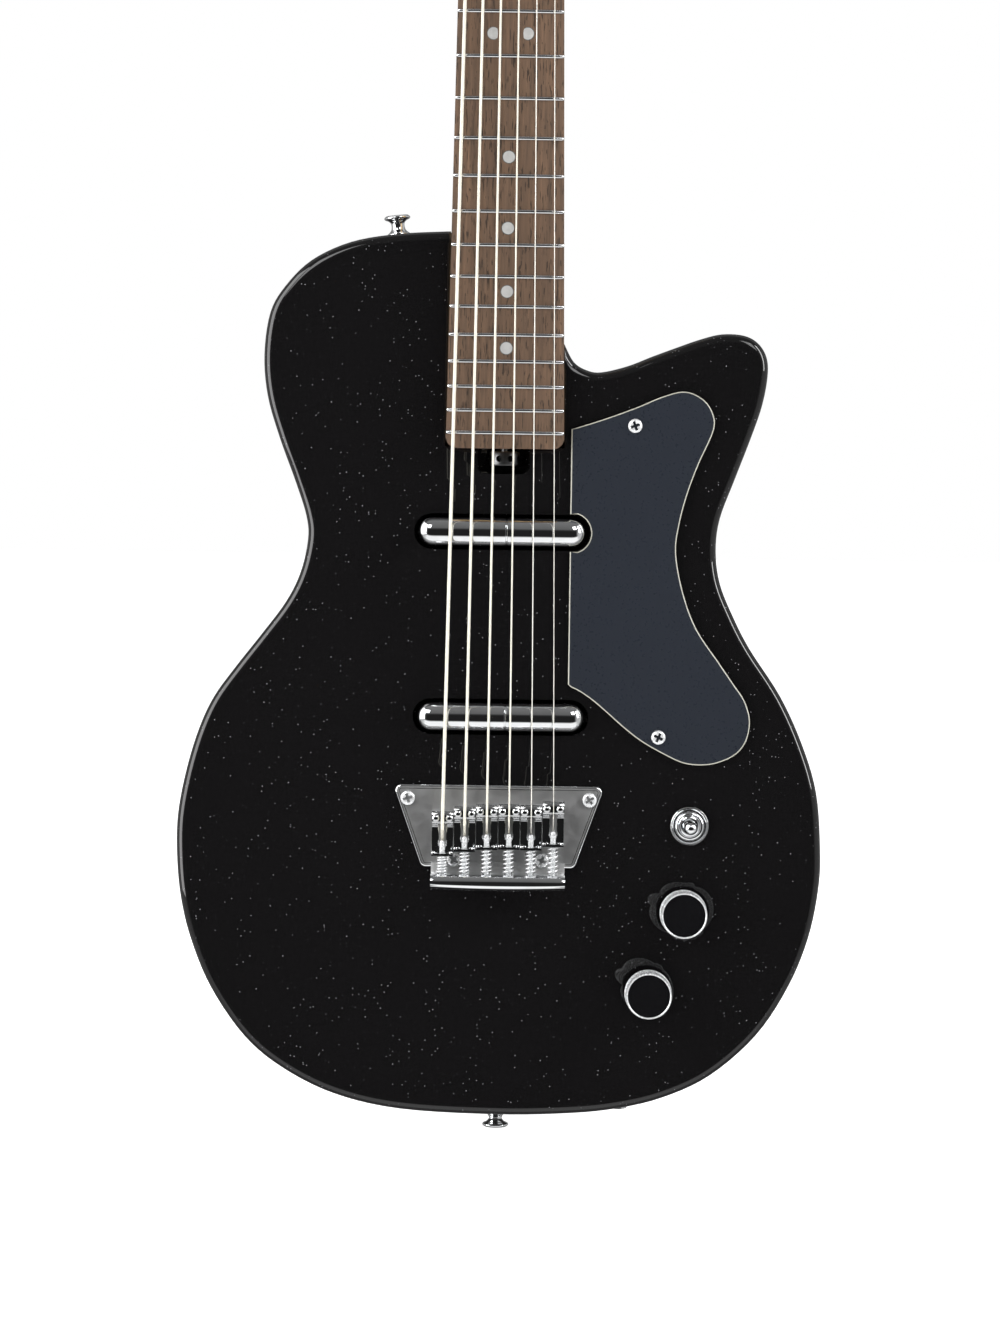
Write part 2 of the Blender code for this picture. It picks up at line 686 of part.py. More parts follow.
def make_truss_rod(finishes):
    mesh = bmesh.new()
    shoulder = FRETBOARD_END_Z + 1.8
    turned(mesh, [(0, WHEEL_Z + 3.0), (1.9, WHEEL_Z + 3.0), (1.9, shoulder), (2.8, shoulder),
                  (2.8, NUT_Z - 26), (0, NUT_Z - 26)], 8)
    return finish("truss_rod", mesh, finishes["steel"], Matrix.Translation((0, TRUSS_Y, 0)))


def make_truss_wheel(finishes):
    """A spoke wheel on the rod's end, turned with a pin in one of its radial holes."""
    mesh = bmesh.new()
    turned(mesh, [(0, 0), (WHEEL_RADIUS - 0.6, 0), (WHEEL_RADIUS, 0.6),
                  (WHEEL_RADIUS, WHEEL_THICKNESS - 0.6), (WHEEL_RADIUS - 0.6, WHEEL_THICKNESS),
                  (0, WHEEL_THICKNESS)], 24)
    wheel = finish("truss_rod_wheel", mesh, finishes["steel"],
                   Matrix.Translation((0, TRUSS_Y, WHEEL_Z)))
    cuts = bmesh.new()
    turned(cuts, [(0, 2.4), (2.3, 2.4), (2.3, 12), (0, 12)], 8)
    for index in range(6):
        angle = math.radians(-102 + 60 * index)
        out = Vector((math.cos(angle), math.sin(angle), 0))
        middle = Vector((0, 0, WHEEL_THICKNESS / 2))
        rod(cuts, middle + out * 4.4, middle + out * 12, 1.9, 8)
    boolean(wheel, helper("wheel_holes", cuts, Matrix.Translation((0, TRUSS_Y, WHEEL_Z))),
            "DIFFERENCE")
    return wheel


def make_neck_plate(finishes):
    mesh = bmesh.new()
    low, high = BACK + GAP, BACK + GAP + 1.8
    prism(mesh, rounded_rectangle(-25.5, 25.5, NECK_PLATE_CENTRE_Z - 32, NECK_PLATE_CENTRE_Z + 32, 5),
          low, high)
    plate = finish("neck_plate", mesh, finishes["chrome"])
    screws = bmesh.new()
    for x, z in NECK_SCREWS:
        matrix = frame_at((x, high, z), (0, 1, 0), (1, 0, 0))
        turned(screws, [(0, -NECK_SCREW_REACH), (NECK_SCREW_RADIUS, -NECK_SCREW_REACH),
                        (NECK_SCREW_RADIUS, -0.6), (4.2, -0.4), (4.0, 0.8), (2.6, 1.7), (0, 1.7)],
               10, matrix)
    boolean(plate, helper("neck_plate_screws", screws), "UNION")
    return plate


# ------------------------------------------------------------------ tuners

PLATE_DROP = HEADSTOCK_THICKNESS + GAP
PLATE_SHEET = 1.2
GEAR_DROP = PLATE_DROP + PLATE_SHEET + 1.4
GEAR_SHEET = 2.4
WORM_OFFSET = GEAR_RADIUS + WORM_RADIUS + 0.45
WORM_DROP = GEAR_DROP + GEAR_SHEET / 2
LUG_X = (TUNER_X - 5.6, TUNER_X + 6.4)
BUTTON_X = 46.5


def make_tuner_plate(name, side, finishes):
    """A long plate under three tuners, with two bearing lugs for each worm shaft."""
    middle = TUNER_DISTANCES[1] + 2.0
    mesh = bmesh.new()
    centre_x = side * (TUNER_X + 0.4)
    outline = rounded_rectangle(centre_x - 8.0, centre_x + 8.0, middle - 50, middle + 50, 3, 2)
    ring_prism(mesh, [[headstock_point(x, s, -drop) for x, s in outline]
                      for drop in (PLATE_DROP, PLATE_DROP + PLATE_SHEET)])
    plate = finish(name, mesh, finishes["chrome"])
    lugs = bmesh.new()
    for distance in TUNER_DISTANCES:
        for lug_x in LUG_X:
            x0, x1 = sorted((side * lug_x, side * (lug_x + 1.4)))
            s0 = distance + WORM_OFFSET - 3.2
            outline = [(x0, s0), (x1, s0), (x1, s0 + 6.4), (x0, s0 + 6.4)]
            drops = (PLATE_DROP + PLATE_SHEET - 0.6, WORM_DROP + 3.2)
            ring_prism(lugs, [[headstock_point(x, s, -drop) for x, s in outline]
                              for drop in drops])
    boolean(plate, helper(name + "_lugs", lugs), "UNION")
    holes = bmesh.new()
    for distance in TUNER_DISTANCES:
        turned(holes, [(0, -6), (3.9, -6), (3.9, 6), (0, 6)], 10,
               headstock_frame(side * TUNER_X, distance, -PLATE_DROP))
        start = headstock_point(side * (TUNER_X - 12), distance + WORM_OFFSET, -WORM_DROP)
        end = headstock_point(side * (TUNER_X + 12), distance + WORM_OFFSET, -WORM_DROP)
        rod(holes, start, end, 1.8, 8)
    boolean(plate, helper(name + "_holes", holes), "DIFFERENCE")
    return plate


def make_tuner_post(name, side, distance, finishes):
    """The string post with the worm wheel on its lower end."""
    mesh = bmesh.new()
    wheel = []
    for tooth in range(GEAR_TEETH):
        for share, radius in ((0.0, GEAR_RADIUS - 1.0), (0.5, GEAR_RADIUS)):
            angle = math.tau * (tooth + share) / GEAR_TEETH
            wheel.append((radius * math.cos(angle), radius * math.sin(angle)))
    ring_prism(mesh, [[(x, y, h) for x, y in wheel]
                      for h in (-GEAR_DROP - GEAR_SHEET, -GEAR_DROP)])
    matrix = headstock_frame(side * TUNER_X, distance, 0)
    post = finish(name, mesh, finishes["chrome"], matrix)
    shaft = bmesh.new()
    turned(shaft, [(0, -GEAR_DROP - GEAR_SHEET - 0.8), (2.0, -GEAR_DROP - GEAR_SHEET - 0.8),
                   (2.0, -GEAR_DROP - 0.4), (3.2, -GEAR_DROP + 0.5), (3.2, 9.0), (2.4, 10.5),
                   (2.4, 14.0), (3.1, 15.5), (2.6, 17.5), (0, 17.5)], 8)
    boolean(post, helper(name + "_shaft", shaft, matrix), "UNION")
    return post


def make_tuner_button(name, side, distance, finishes):
    """The worm shaft with its button, on local Z, which points away from the headstock."""
    start = TUNER_X - 9.4
    worm_low = LUG_X[0] + 1.4 + 0.4
    worm_high = LUG_X[1] - 0.4
    mesh = bmesh.new()
    profile = [(0, start), (1.5, start), (1.5, worm_low), (WORM_RADIUS, worm_low + 0.3),
               (WORM_RADIUS, worm_high - 0.3), (1.5, worm_high), (1.5, BUTTON_X - 4.0),
               (3.0, BUTTON_X - 3.0), (3.0, BUTTON_X), (0, BUTTON_X)]
    turned(mesh, profile, 8)
    matrix = headstock_frame(0, distance + WORM_OFFSET, -WORM_DROP, "right" if side > 0 else "left")
    button = finish(name, mesh, finishes["button_plastic"], matrix)
    paddle = bmesh.new()
    rings = []
    for along, wide, thick in ((BUTTON_X - 1.5, 3.4, 2.6), (BUTTON_X + 1.5, 7.2, 3.6),
                               (BUTTON_X + 6.5, 8.6, 3.9), (BUTTON_X + 11.0, 7.2, 3.4),
                               (BUTTON_X + 13.5, 3.6, 2.2)):
        rings.append([(thick * math.cos(math.tau * k / 10), wide * math.sin(math.tau * k / 10), along)
                      for k in range(10)])
    ring_prism(paddle, rings)
    boolean(button, helper(name + "_paddle", paddle, matrix), "UNION")
    return button


# ------------------------------------------------------------------ bridge

def make_bridge_plate(finishes):
    """A flat trapezoid whose tail is folded up and over to hold the strings and screws."""
    corners = [((52.0, 11.8 - 3.2), 3.2, -20, 90), ((-52.0, 11.8 - 3.2), 3.2, 90, 200),
               ((-39.5, -29.6 + 3.2), 3.2, 200, 270), ((39.5, -29.6 + 3.2), 3.2, 270, 340)]
    outline = []
    for centre, radius, start, end in corners:
        inner = (centre[0] - math.copysign(radius, centre[0]), centre[1])
        outline += arc(inner, radius, start, end, 3)
    outline = [(x + BRIDGE_CENTRE_X, z + SADDLE_Z) for x, z in outline]
    mesh = bmesh.new()
    rings = []
    for height, step_in in ((GAP, 0.0), (1.0, 0.0), (BRIDGE_THICKNESS + GAP, 0.9)):
        rings.append([(x, up(height), z) for x, z in inset(outline, step_in)])
    ring_prism(mesh, rings)
    plate = finish("bridge_plate", mesh, finishes["chrome"])
    tail = bmesh.new()
    middle = TAIL_Z - TAIL_SHEET / 2
    top = TAIL_HEIGHT - TAIL_SHEET / 2
    base = GAP + TAIL_SHEET / 2
    bend = 2.6
    line = [(base, TAIL_Z + 5.0), (base, middle), (top - bend, middle)]
    line += [(top - bend + bend * math.sin(math.radians(turn)),
              middle - bend + bend * math.cos(math.radians(turn))) for turn in (30, 60, 90)]
    line.append((top, TAIL_Z - 8.0))
    ring_prism(tail, [[(x + BRIDGE_CENTRE_X, up(height), z)
                       for height, z in bent_sheet(line, TAIL_SHEET)]
                      for x in (-TAIL_HALF_WIDTH, TAIL_HALF_WIDTH)])
    boolean(plate, helper("bridge_tail", tail), "UNION")
    cuts = bmesh.new()
    for index, radius in enumerate(STRING_RADII):
        x = string_x_at_saddle(index)
        rod(cuts, (x, up(4.0), TAIL_Z - 12), (x, up(4.0), TAIL_Z + 2), radius + 0.5, 8)
        rod(cuts, (x, up(SCREW_AXIS_HEIGHT), TAIL_Z - 4), (x, up(SCREW_AXIS_HEIGHT), TAIL_Z + 2),
            1.8, 8)
    for x, z in BRIDGE_SCREWS:
        round_hole(cuts, x, z, 2.2, up(4), up(-2), 8)
    boolean(plate, helper("bridge_holes", cuts), "DIFFERENCE")
    return plate


def saddle_profile():
    """The bent sheet seen from its side, as (height, z from the string's contact point)."""
    crest = STRING_HEIGHT_AT_SADDLE - GAP - SADDLE_SHEET / 2
    base = SADDLE_BASE_HEIGHT
    rear = -SADDLE_LENGTH + 3.9
    line = [(crest - 3.4, 3.9), (crest - 0.9, 3.0), (crest, 1.2), (crest, -0.8),
            (crest - 1.2, -2.6), (base + 1.2, -4.8), (base, -6.4), (base, rear),
            (crest + 0.6, rear)]
    return bent_sheet(line, SADDLE_SHEET)


def make_saddle(name, index, finishes):
    """A bent plate with a humped front for the string, a slot, and a threaded tab behind."""
    x = string_x_at_saddle(index)
    z = SADDLE_Z + SADDLE_OFFSETS[index]
    lowered = STRING_RADII[index]
    half = SADDLE_PITCH / 2 - 0.2
    mesh = bmesh.new()
    ring_prism(mesh, [[(end, lowered - height, along) for height, along in saddle_profile()]
                      for end in (-half, half)])
    matrix = Matrix.Translation((x, up(0), z))
    saddle = finish(name, mesh, finishes["chrome"], matrix)
    cuts = bmesh.new()
    box(cuts, (-1.85, -STRING_HEIGHT_AT_SADDLE, -14.4), (1.85, -2.0, -2.2))
    tab = -SADDLE_LENGTH + 3.9
    rod(cuts, (0, -SCREW_AXIS_HEIGHT, tab - 1.5), (0, -SCREW_AXIS_HEIGHT, tab + 1.5), 1.8, 8)
    boolean(saddle, helper(name + "_slot", cuts, matrix), "DIFFERENCE")
    return saddle


def make_intonation_screw(name, index, finishes):
    """Its head bears on the tail, and its thread draws the saddle along."""
    x = string_x_at_saddle(index)
    mesh = bmesh.new()
    tip = SADDLE_Z + SADDLE_OFFSETS[index] - 11.5 - TAIL_Z
    turned(mesh, [(0, -5.0), (2.3, -5.0), (2.6, -3.8), (2.6, -2.0), (1.45, -2.0), (1.45, tip),
                  (0, tip)], 8)
    return finish(name, mesh, finishes["steel"],
                  Matrix.Translation((x, up(SCREW_AXIS_HEIGHT), TAIL_Z)))


# ------------------------------------------------------------------ strings

TUNER_ORDER = ((-1, 0), (-1, 1), (-1, 2), (1, 2), (1, 1), (1, 0))
WRAP_HEIGHT = 12.9


def string_path(index):
    radius = STRING_RADII[index]
    x0, x1 = string_x_at_saddle(index), string_x_at_nut(index)
    contact = SADDLE_Z + SADDLE_OFFSETS[index]
    high = STRING_HEIGHT_AT_SADDLE
    path = [(x0, up(4.0), TAIL_Z - 3.4), (x0, up(4.0), contact - 12.4),
            (x0, up(4.8), contact - 11.2), (x0, up(high - 0.9), contact - 5.9),
            (x0, up(high), contact - 4.7), (x0, up(high), contact)]
    path.append((x1, up(STRING_HEIGHT_AT_NUT), NUT_Z))
    path.append((x1, up(STRING_HEIGHT_AT_NUT), NUT_Z + NUT_THICKNESS))
    side, order = TUNER_ORDER[index]
    distance = TUNER_DISTANCES[order]
    reach = 2.4 + radius + GAP
    start_angle = math.pi if side > 0 else 0.0
    turns, steps = 1.25, 10
    for step in range(steps + 1):
        angle = start_angle - side * math.tau * turns * step / steps
        height = WRAP_HEIGHT - step / steps * turns * 2.2 * radius
        path.append(headstock_point(side * TUNER_X + reach * math.cos(angle),
                                    distance + reach * math.sin(angle), height))
    return path


def make_string(name, index, finishes):
    mesh = bmesh.new()
    tube(mesh, string_path(index), STRING_RADII[index], 6)
    return finish(name, mesh, finishes["string_wire"])


# ------------------------------------------------------------------ pickups and controls

def make_pickup(name, finishes):
    """A round metal tube with domed ends, on two feet in its rout."""
    x, z = PICKUP_CENTRES[name]
    half = PICKUP_LENGTH / 2
    radius = PICKUP_RADIUS
    profile = [(0, -half)]
    for degrees in (25, 50, 70, 90):
        angle = math.radians(degrees)
        profile.append((radius * math.sin(angle), -half + radius * (1 - math.cos(angle))))
    profile += [(r, -h) for r, h in reversed(profile)]
    mesh = bmesh.new()
    turned(mesh, profile, 20, frame_at((x, up(0), z), (1, 0, 0), (0, 0, 1)))
    pickup = finish(name, mesh, finishes["chrome"])
    feet = bmesh.new()
    for side in (-1, 1):
        box(feet, (x + side * 24 - 3, FRONT + 5.5, z - 3), (x + side * 24 + 3, FRONT + 15.5, z + 3))
    boolean(pickup, helper(name + "_feet", feet), "UNION")
    return pickup


def make_pot(name, centre, finishes):
    """A potentiometer case under the panel, its threaded bushing through it, and a nut."""
    mesh = bmesh.new()
    case = -(PANEL_THICKNESS + GAP)
    turned(mesh, [(3.5, case - 8.0), (11.5, case - 8.0), (11.5, case), (4.0, case), (4.0, GAP),
                  (6.2, GAP), (6.2, 2.2), (3.5, 2.2)], 14)
    return finish(name, mesh, finishes["steel"], facing_front(*centre))


def make_knob(name, centre, finishes):
    """A skirted knob and the shaft it is pressed on, turning on local Z."""
    mesh = bmesh.new()
    shaft = 3.1
    low = -(PANEL_THICKNESS + GAP) - 7.0
    skirt = 2.8
    turned(mesh, [(0, low), (shaft, low), (shaft, skirt), (KNOB_RADIUS, skirt),
                  (KNOB_RADIUS, KNOB_HEIGHT - 1.0), (KNOB_RADIUS - 0.9, KNOB_HEIGHT),
                  (0, KNOB_HEIGHT)], 24)
    return finish(name, mesh, finishes["black_plastic"], facing_front(*centre))


def make_selector(finishes):
    """The three-way switch: a case, a bushing through the panel, and the dress ring."""
    mesh = bmesh.new()
    case = -(PANEL_THICKNESS + GAP)
    turned(mesh, [(2.9, case - 1.5), (5.9, case - 1.5), (5.9, GAP), (9.8, GAP), (9.8, 1.4),
                  (6.6, 1.7), (6.6, 3.6), (4.0, 3.6)], 16)
    selector = finish("pickup_selector", mesh, finishes["chrome"], facing_front(*SELECTOR_CENTRE))
    case_mesh = bmesh.new()
    box(case_mesh, (-7.5, -15, case - 20), (7.5, 15, case))
    matrix = facing_front(*SELECTOR_CENTRE)
    boolean(selector, helper("selector_case", case_mesh, matrix), "UNION")
    hollow = bmesh.new()
    turned(hollow, [(0, case - 9.0), (3.2, case - 9.0), (3.2, case + 1.0), (4.2, 8.0), (0, 8.0)],
           12, matrix)
    boolean(selector, helper("selector_hollow", hollow), "DIFFERENCE")
    return selector


def make_selector_lever(finishes):
    """The lever, turning about world X at its pivot inside the bushing."""
    mesh = bmesh.new()
    turned(mesh, [(0, -2.4), (1.7, -1.7), (2.4, 0), (1.8, 1.5), (1.4, 3.0), (1.6, 12.0), (2.2, 14.0),
                  (3.1, 15.4), (3.4, 17.2), (2.6, 19.4), (0, 20.4)], 12)
    return finish("selector_lever", mesh, finishes["chrome"], facing_front(*SELECTOR_CENTRE, -2.0))


def make_output_jack(finishes, matrix):
    """The socket in the rim: nut outside, threaded sleeve, open frame inside."""
    mesh = bmesh.new()
    turned(mesh, [(3.3, -20.0), (4.8, -20.0), (4.8, GAP), (7.2, GAP), (7.2, 2.6), (6.4, 3.0),
                  (4.6, 3.0), (4.6, 4.2), (3.3, 4.2)], 12)
    return finish("output_jack", mesh, finishes["chrome"], matrix)


def make_strap_button(name, finishes, matrix, height):
    """A spool on a screw: the strap's hole sits round its waist."""
    mesh = bmesh.new()
    turned(mesh, [(0, -8.5), (1.7, -8.5), (1.7, GAP), (6.0, GAP), (5.8, 1.2), (3.6, 3.2),
                  (3.4, height - 3.9), (6.4, height - 2.1), (6.6, height - 0.9),
                  (5.8, height), (0, height)], 12)
    return finish(name, mesh, finishes["chrome"], matrix)


def make_wiring(finishes, jack_matrix):
    """The lead that runs from the bridge pickup past the switch and pots to the jack."""
    x, z = SELECTOR_CENTRE
    bridge_x, bridge_z = PICKUP_CENTRES["bridge_pickup"]
    jack_end = jack_matrix @ Vector((0, 0, -22.5))
    route = [(bridge_x + 36, FRONT + 13, bridge_z + 1), (bridge_x + 48, FRONT + 14, bridge_z - 4),
             (x - 32, FRONT + 17, z + 25), (x - 22, FRONT + 20, z), (x - 22, FRONT + 21, z - 30),
             (x - 19, FRONT + 24, z - 62), (JACK_X + 8, FRONT + 24, jack_end.z + 27),
             (JACK_X, MIDDLE_Y, jack_end.z + 11), tuple(jack_end)]
    mesh = bmesh.new()
    tube(mesh, spline(route, 3), 1.6, 6)
    return finish("wiring_harness", mesh, finishes["cable_plastic"])


# ------------------------------------------------------------------ assembly

def rim_matrix(outline, target_x, depth_y):
    point, out = upper_rim_point(outline, target_x)
    return frame_at((point[0], depth_y, point[1]), (out[0], 0, out[1]), (0, 1, 0))


def build():
    remove_scene_objects()
    finishes = make_materials()
    outline = body_outline()
    jack_matrix = frame_at((JACK_X, MIDDLE_Y, BODY_BOTTOM + JACK_SEAT), (0, 0, -1), (1, 0, 0))
    shoulder_matrix = rim_matrix(outline, -56.0, MIDDLE_Y)
    tail_matrix = frame_at((0, 0, BODY_BOTTOM), (0, 0, -1), (1, 0, 0))

    make_body_frame(finishes, outline, jack_matrix, (shoulder_matrix, tail_matrix))
    make_top_panel(finishes, outline)
    make_back_panel(finishes, outline)
    make_pickguard(finishes)
    for name, (x, z) in zip(("pickguard_screw_upper", "pickguard_screw_lower"), GUARD_SCREWS):
        domed_screw(name, finishes["chrome"], x, z, GUARD_THICKNESS + GAP, 3.6, 1.4, 8.0)

    make_neck(finishes)
    make_fretboard(finishes)
    make_nut(finishes)
    make_truss_rod(finishes)
    make_truss_wheel(finishes)
    make_neck_plate(finishes)

    for name, side in (("tuner_plate_bass", -1), ("tuner_plate_treble", 1)):
        make_tuner_plate(name, side, finishes)
    for index, (side, order) in enumerate(TUNER_ORDER):
        distance = TUNER_DISTANCES[order]
        make_tuner_post(f"tuner_post_{index + 1}", side, distance, finishes)
        make_tuner_button(f"tuner_button_{index + 1}", side, distance, finishes)

    make_bridge_plate(finishes)
    for index, (x, z) in enumerate(BRIDGE_SCREWS[:2]):
        domed_screw(f"bridge_screw_{index + 1}", finishes["chrome"], x, z,
                    BRIDGE_THICKNESS + GAP, 3.7, 1.7, 5.0)
    for index in range(6):
        make_saddle(f"saddle_{index + 1}", index, finishes)
        make_intonation_screw(f"intonation_screw_{index + 1}", index, finishes)
        make_string(f"string_{index + 1}", index, finishes)

    for name in PICKUP_CENTRES:
        make_pickup(name, finishes)
    make_selector(finishes)
    make_selector_lever(finishes)
    make_pot("volume_pot", VOLUME_CENTRE, finishes)
    make_knob("volume_knob", VOLUME_CENTRE, finishes)
    make_pot("tone_pot", TONE_CENTRE, finishes)
    make_knob("tone_knob", TONE_CENTRE, finishes)
    make_output_jack(finishes, jack_matrix)
    make_strap_button("shoulder_strap_button", finishes, shoulder_matrix, SHOULDER_BUTTON_HEIGHT)
    make_strap_button("tail_strap_button", finishes, tail_matrix, TAIL_BUTTON_HEIGHT)
    make_wiring(finishes, jack_matrix)


build()
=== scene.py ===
"""The looks of a long-scale electric guitar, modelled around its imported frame."""

import math

import bpy
import numpy as np
from bpy.props import FloatProperty, FloatVectorProperty, IntProperty, PointerProperty
from mathutils import Matrix, Vector


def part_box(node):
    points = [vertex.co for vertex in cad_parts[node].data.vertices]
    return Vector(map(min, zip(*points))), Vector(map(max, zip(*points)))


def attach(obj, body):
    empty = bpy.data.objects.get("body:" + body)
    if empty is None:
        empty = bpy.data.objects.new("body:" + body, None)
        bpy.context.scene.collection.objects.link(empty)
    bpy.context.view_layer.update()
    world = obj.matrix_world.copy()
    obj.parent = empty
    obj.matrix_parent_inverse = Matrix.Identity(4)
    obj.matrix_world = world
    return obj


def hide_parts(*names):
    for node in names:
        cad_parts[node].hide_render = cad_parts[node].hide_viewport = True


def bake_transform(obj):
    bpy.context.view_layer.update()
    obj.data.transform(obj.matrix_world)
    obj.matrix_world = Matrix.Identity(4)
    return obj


bl_info = {
    "name": "Electric Guitar Finish",
    "version": (1, 0, 0),
    "blender": (4, 5, 0),
    "location": "View3D > Sidebar > Guitar",
    "description": "Models the finished pieces of an electric guitar around its frame",
    "category": "Object",
}

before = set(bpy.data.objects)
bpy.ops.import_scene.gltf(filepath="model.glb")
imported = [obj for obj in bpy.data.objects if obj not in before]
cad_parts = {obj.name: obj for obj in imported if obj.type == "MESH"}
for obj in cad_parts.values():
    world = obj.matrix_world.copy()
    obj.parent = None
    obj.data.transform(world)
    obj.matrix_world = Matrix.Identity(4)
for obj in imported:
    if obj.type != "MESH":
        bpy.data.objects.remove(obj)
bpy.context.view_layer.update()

MM = 0.001


# ------------------------------------------------------------------ places taken from the frame

def corners(node):
    """The lowest and highest corners of a CAD node, in millimetres."""
    low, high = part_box(node)
    return low / MM, high / MM


def middle(node):
    low, high = corners(node)
    return (low + high) / 2


FRONT = corners("top_panel")[0].y
BACK = corners("back_panel")[1].y
BODY_LOW = corners("top_panel")[0].z
NUT_Z = corners("nut")[0].z
NUT_THICKNESS = corners("nut")[1].z - NUT_Z
SCALE_LENGTH = 755.65
SADDLE_Z = NUT_Z - SCALE_LENGTH
BOARD_END_Z = corners("fretboard")[0].z
BOARD_TOP = 8.2
BOARD_THICKNESS = 5.5
BOARD_RADIUS = 355.0
BOARD_CORNER = 6.0
HALF_WIDTH_AT_END = 29.7
HALF_WIDTH_AT_NUT = 22.0
FRET_HEIGHT = 1.1
FRET_COUNT = 24
POCKET_DEPTH = 16.5
PICKUPS = ("neck_pickup", "bridge_pickup")
PICKUP_RADIUS = 7.35
PICKUP_SLOT_MARGIN = 1.7
SADDLE_OFFSETS = (-4.3, -2.0, -0.9, -0.6, -0.8, 1.0)
STRING_RADII = (0.87, 0.72, 0.57, 0.42, 0.24, 0.19)
STRING_HEIGHT_AT_SADDLE = 12.7
STRING_HEIGHT_AT_NUT = 9.9
STRING_PITCH_AT_NUT = 7.18
STRING_CENTRE_AT_NUT = -0.45
TAIL_HOLE_HEIGHT = 4.0
TAIL_Z = SADDLE_Z - 32.2
JACK_SEAT_DEPTH = 4.2
SCREW_AXIS_HEIGHT = 9.0
HEADSTOCK_TILT = math.radians(10.0)
HEADSTOCK_THICKNESS = 14.0
TUNER_X = 27.0
TUNER_DISTANCES = (58.0, 96.0, 134.0)
TUNER_ORDER = ((-1, 0), (-1, 1), (-1, 2), (1, 2), (1, 1), (1, 0))

# Body outline, (x, height above the body's lowest point), from the bass shoulder down round
# the bottom and up to where the cutaway meets the neck.
BODY_POINTS = (
    (-30.2, 444.9), (-55.3, 443.3), (-79, 438.9), (-98.6, 429.5), (-111.7, 416.3), (-119.2, 402.7),
    (-121.9, 381.5), (-119.9, 360.7), (-113.5, 339.5), (-105.3, 317.8), (-99.6, 300.6),
    (-98.6, 288.5), (-102.2, 271.8), (-109.3, 257), (-121.3, 240.6), (-133.8, 224.4),
    (-144.9, 208.7), (-152.3, 192.3), (-158.3, 171.5), (-162.2, 149.3), (-162.4, 128.8),
    (-160.2, 107.6), (-154.8, 86.4), (-144.4, 62.2), (-127.3, 38), (-107.8, 22.1), (-81.5, 9.4),
    (-48.3, 2.2), (0, 0), (35.2, 1), (59.6, 3.6), (83.7, 9.5), (107.8, 21.1), (130.8, 41.7),
    (146.7, 66.4), (156.4, 90.9), (161.2, 115.4), (161.9, 135.7), (159.5, 164.2), (152, 188.6),
    (140.7, 212.6), (124.9, 236.3), (116.2, 252.7), (109.4, 269.2), (107.1, 285.5), (108.9, 301.8),
    (116.1, 321.6), (124, 342.7), (129.4, 359), (132, 373.7), (131.4, 383.4), (127, 390.6),
    (119.7, 394.4), (108.6, 394.9), (97.6, 392.1), (85.5, 387.7), (73.5, 383.1), (61.4, 378.2),
    (48.1, 374.9), (40.6, 375.9), (34.1, 380), (29.4, 388.7),
)
TONGUE_EDGE_X = 28.6
TONGUE_CORNER = 8.0
TONGUE_SIDE = (402.0, 419.0)

GUARD_EDGE_X = 33.4
GUARD_LOWER_CORNER = 63.0
GUARD_GAP = 2.6

# Pickguard outline, (x, z above the saddle line), from its top left corner round the treble
# side to its lower left corner.
GUARD_POINTS = (
    (GUARD_EDGE_X, 191.3), (49.6, 196.6), (65.6, 202.6), (79.1, 208.4), (90.6, 211), (100.2, 206.6),
    (104.9, 198.7), (104.5, 190.5), (97.7, 174.9), (92.4, 160.3), (88.5, 145.2), (86.8, 130),
    (90.6, 110), (97.6, 91.8), (109.1, 75.1), (116.8, 64.1), (122.3, 56), (125.1, 46.2),
    (123.5, 36.1), (118.3, 29), (109.9, 24.8), (101.8, 23.3), (92.3, 24.1), (83.2, 27.9),
    (71.5, 34.3), (62.4, 41), (53.7, 48.5), (46.1, 54.9), (39.5, 59.4), (35, 61.6),
)
HEADSTOCK_POINTS = (
    (22.2, 0), (22.8, 8), (26.5, 20), (33, 33), (36.3, 46), (37.3, 65), (38.6, 105),
    (40.2, 142), (40.4, 157), (37.5, 166), (29, 170.5), (15, 173.8), (0, 176),
)


def up(height):
    """World y of a height above the body's front face."""
    return FRONT - height


def neck_half_width(z):
    share = (z - BOARD_END_Z) / (NUT_Z - BOARD_END_Z)
    return HALF_WIDTH_AT_END + (HALF_WIDTH_AT_NUT - HALF_WIDTH_AT_END) * share


def string_x_at_nut(index):
    return STRING_CENTRE_AT_NUT + (index - 2.5) * STRING_PITCH_AT_NUT


def fret_z(number):
    return NUT_Z - SCALE_LENGTH * (1 - 2 ** (-number / 12))


def headstock_point(x, distance, height):
    """World point of the headstock: distance along its face from the nut, height above it."""
    start = Vector((0, up(2.0), NUT_Z + NUT_THICKNESS + 0.6))
    along = Vector((0, math.sin(HEADSTOCK_TILT), math.cos(HEADSTOCK_TILT)))
    out = Vector((0, -math.cos(HEADSTOCK_TILT), math.sin(HEADSTOCK_TILT)))
    return start + Vector((x, 0, 0)) + along * distance + out * height


# ------------------------------------------------------------------ lines and outlines

def spline(points, steps):
    """A smooth open curve through the points, with this many steps a span."""
    padded = [points[0], *points, points[-1]]
    curve = []
    for four in zip(padded, padded[1:], padded[2:], padded[3:]):
        for t in (index / steps for index in range(steps)):
            curve.append(tuple(
                0.5 * (2 * q + (r - p) * t + (2 * p - 5 * q + 4 * r - s) * t * t
                       + (3 * q - p - 3 * r + s) * t ** 3)
                for p, q, r, s in zip(*four)))
    curve.append(tuple(points[-1]))
    return curve


def arc(centre, radius, start, end, steps):
    """Points of an arc between two angles in degrees."""
    turn = [math.radians(start + (end - start) * k / steps) for k in range(steps + 1)]
    return [(centre[0] + radius * math.cos(a), centre[1] + radius * math.sin(a)) for a in turn]


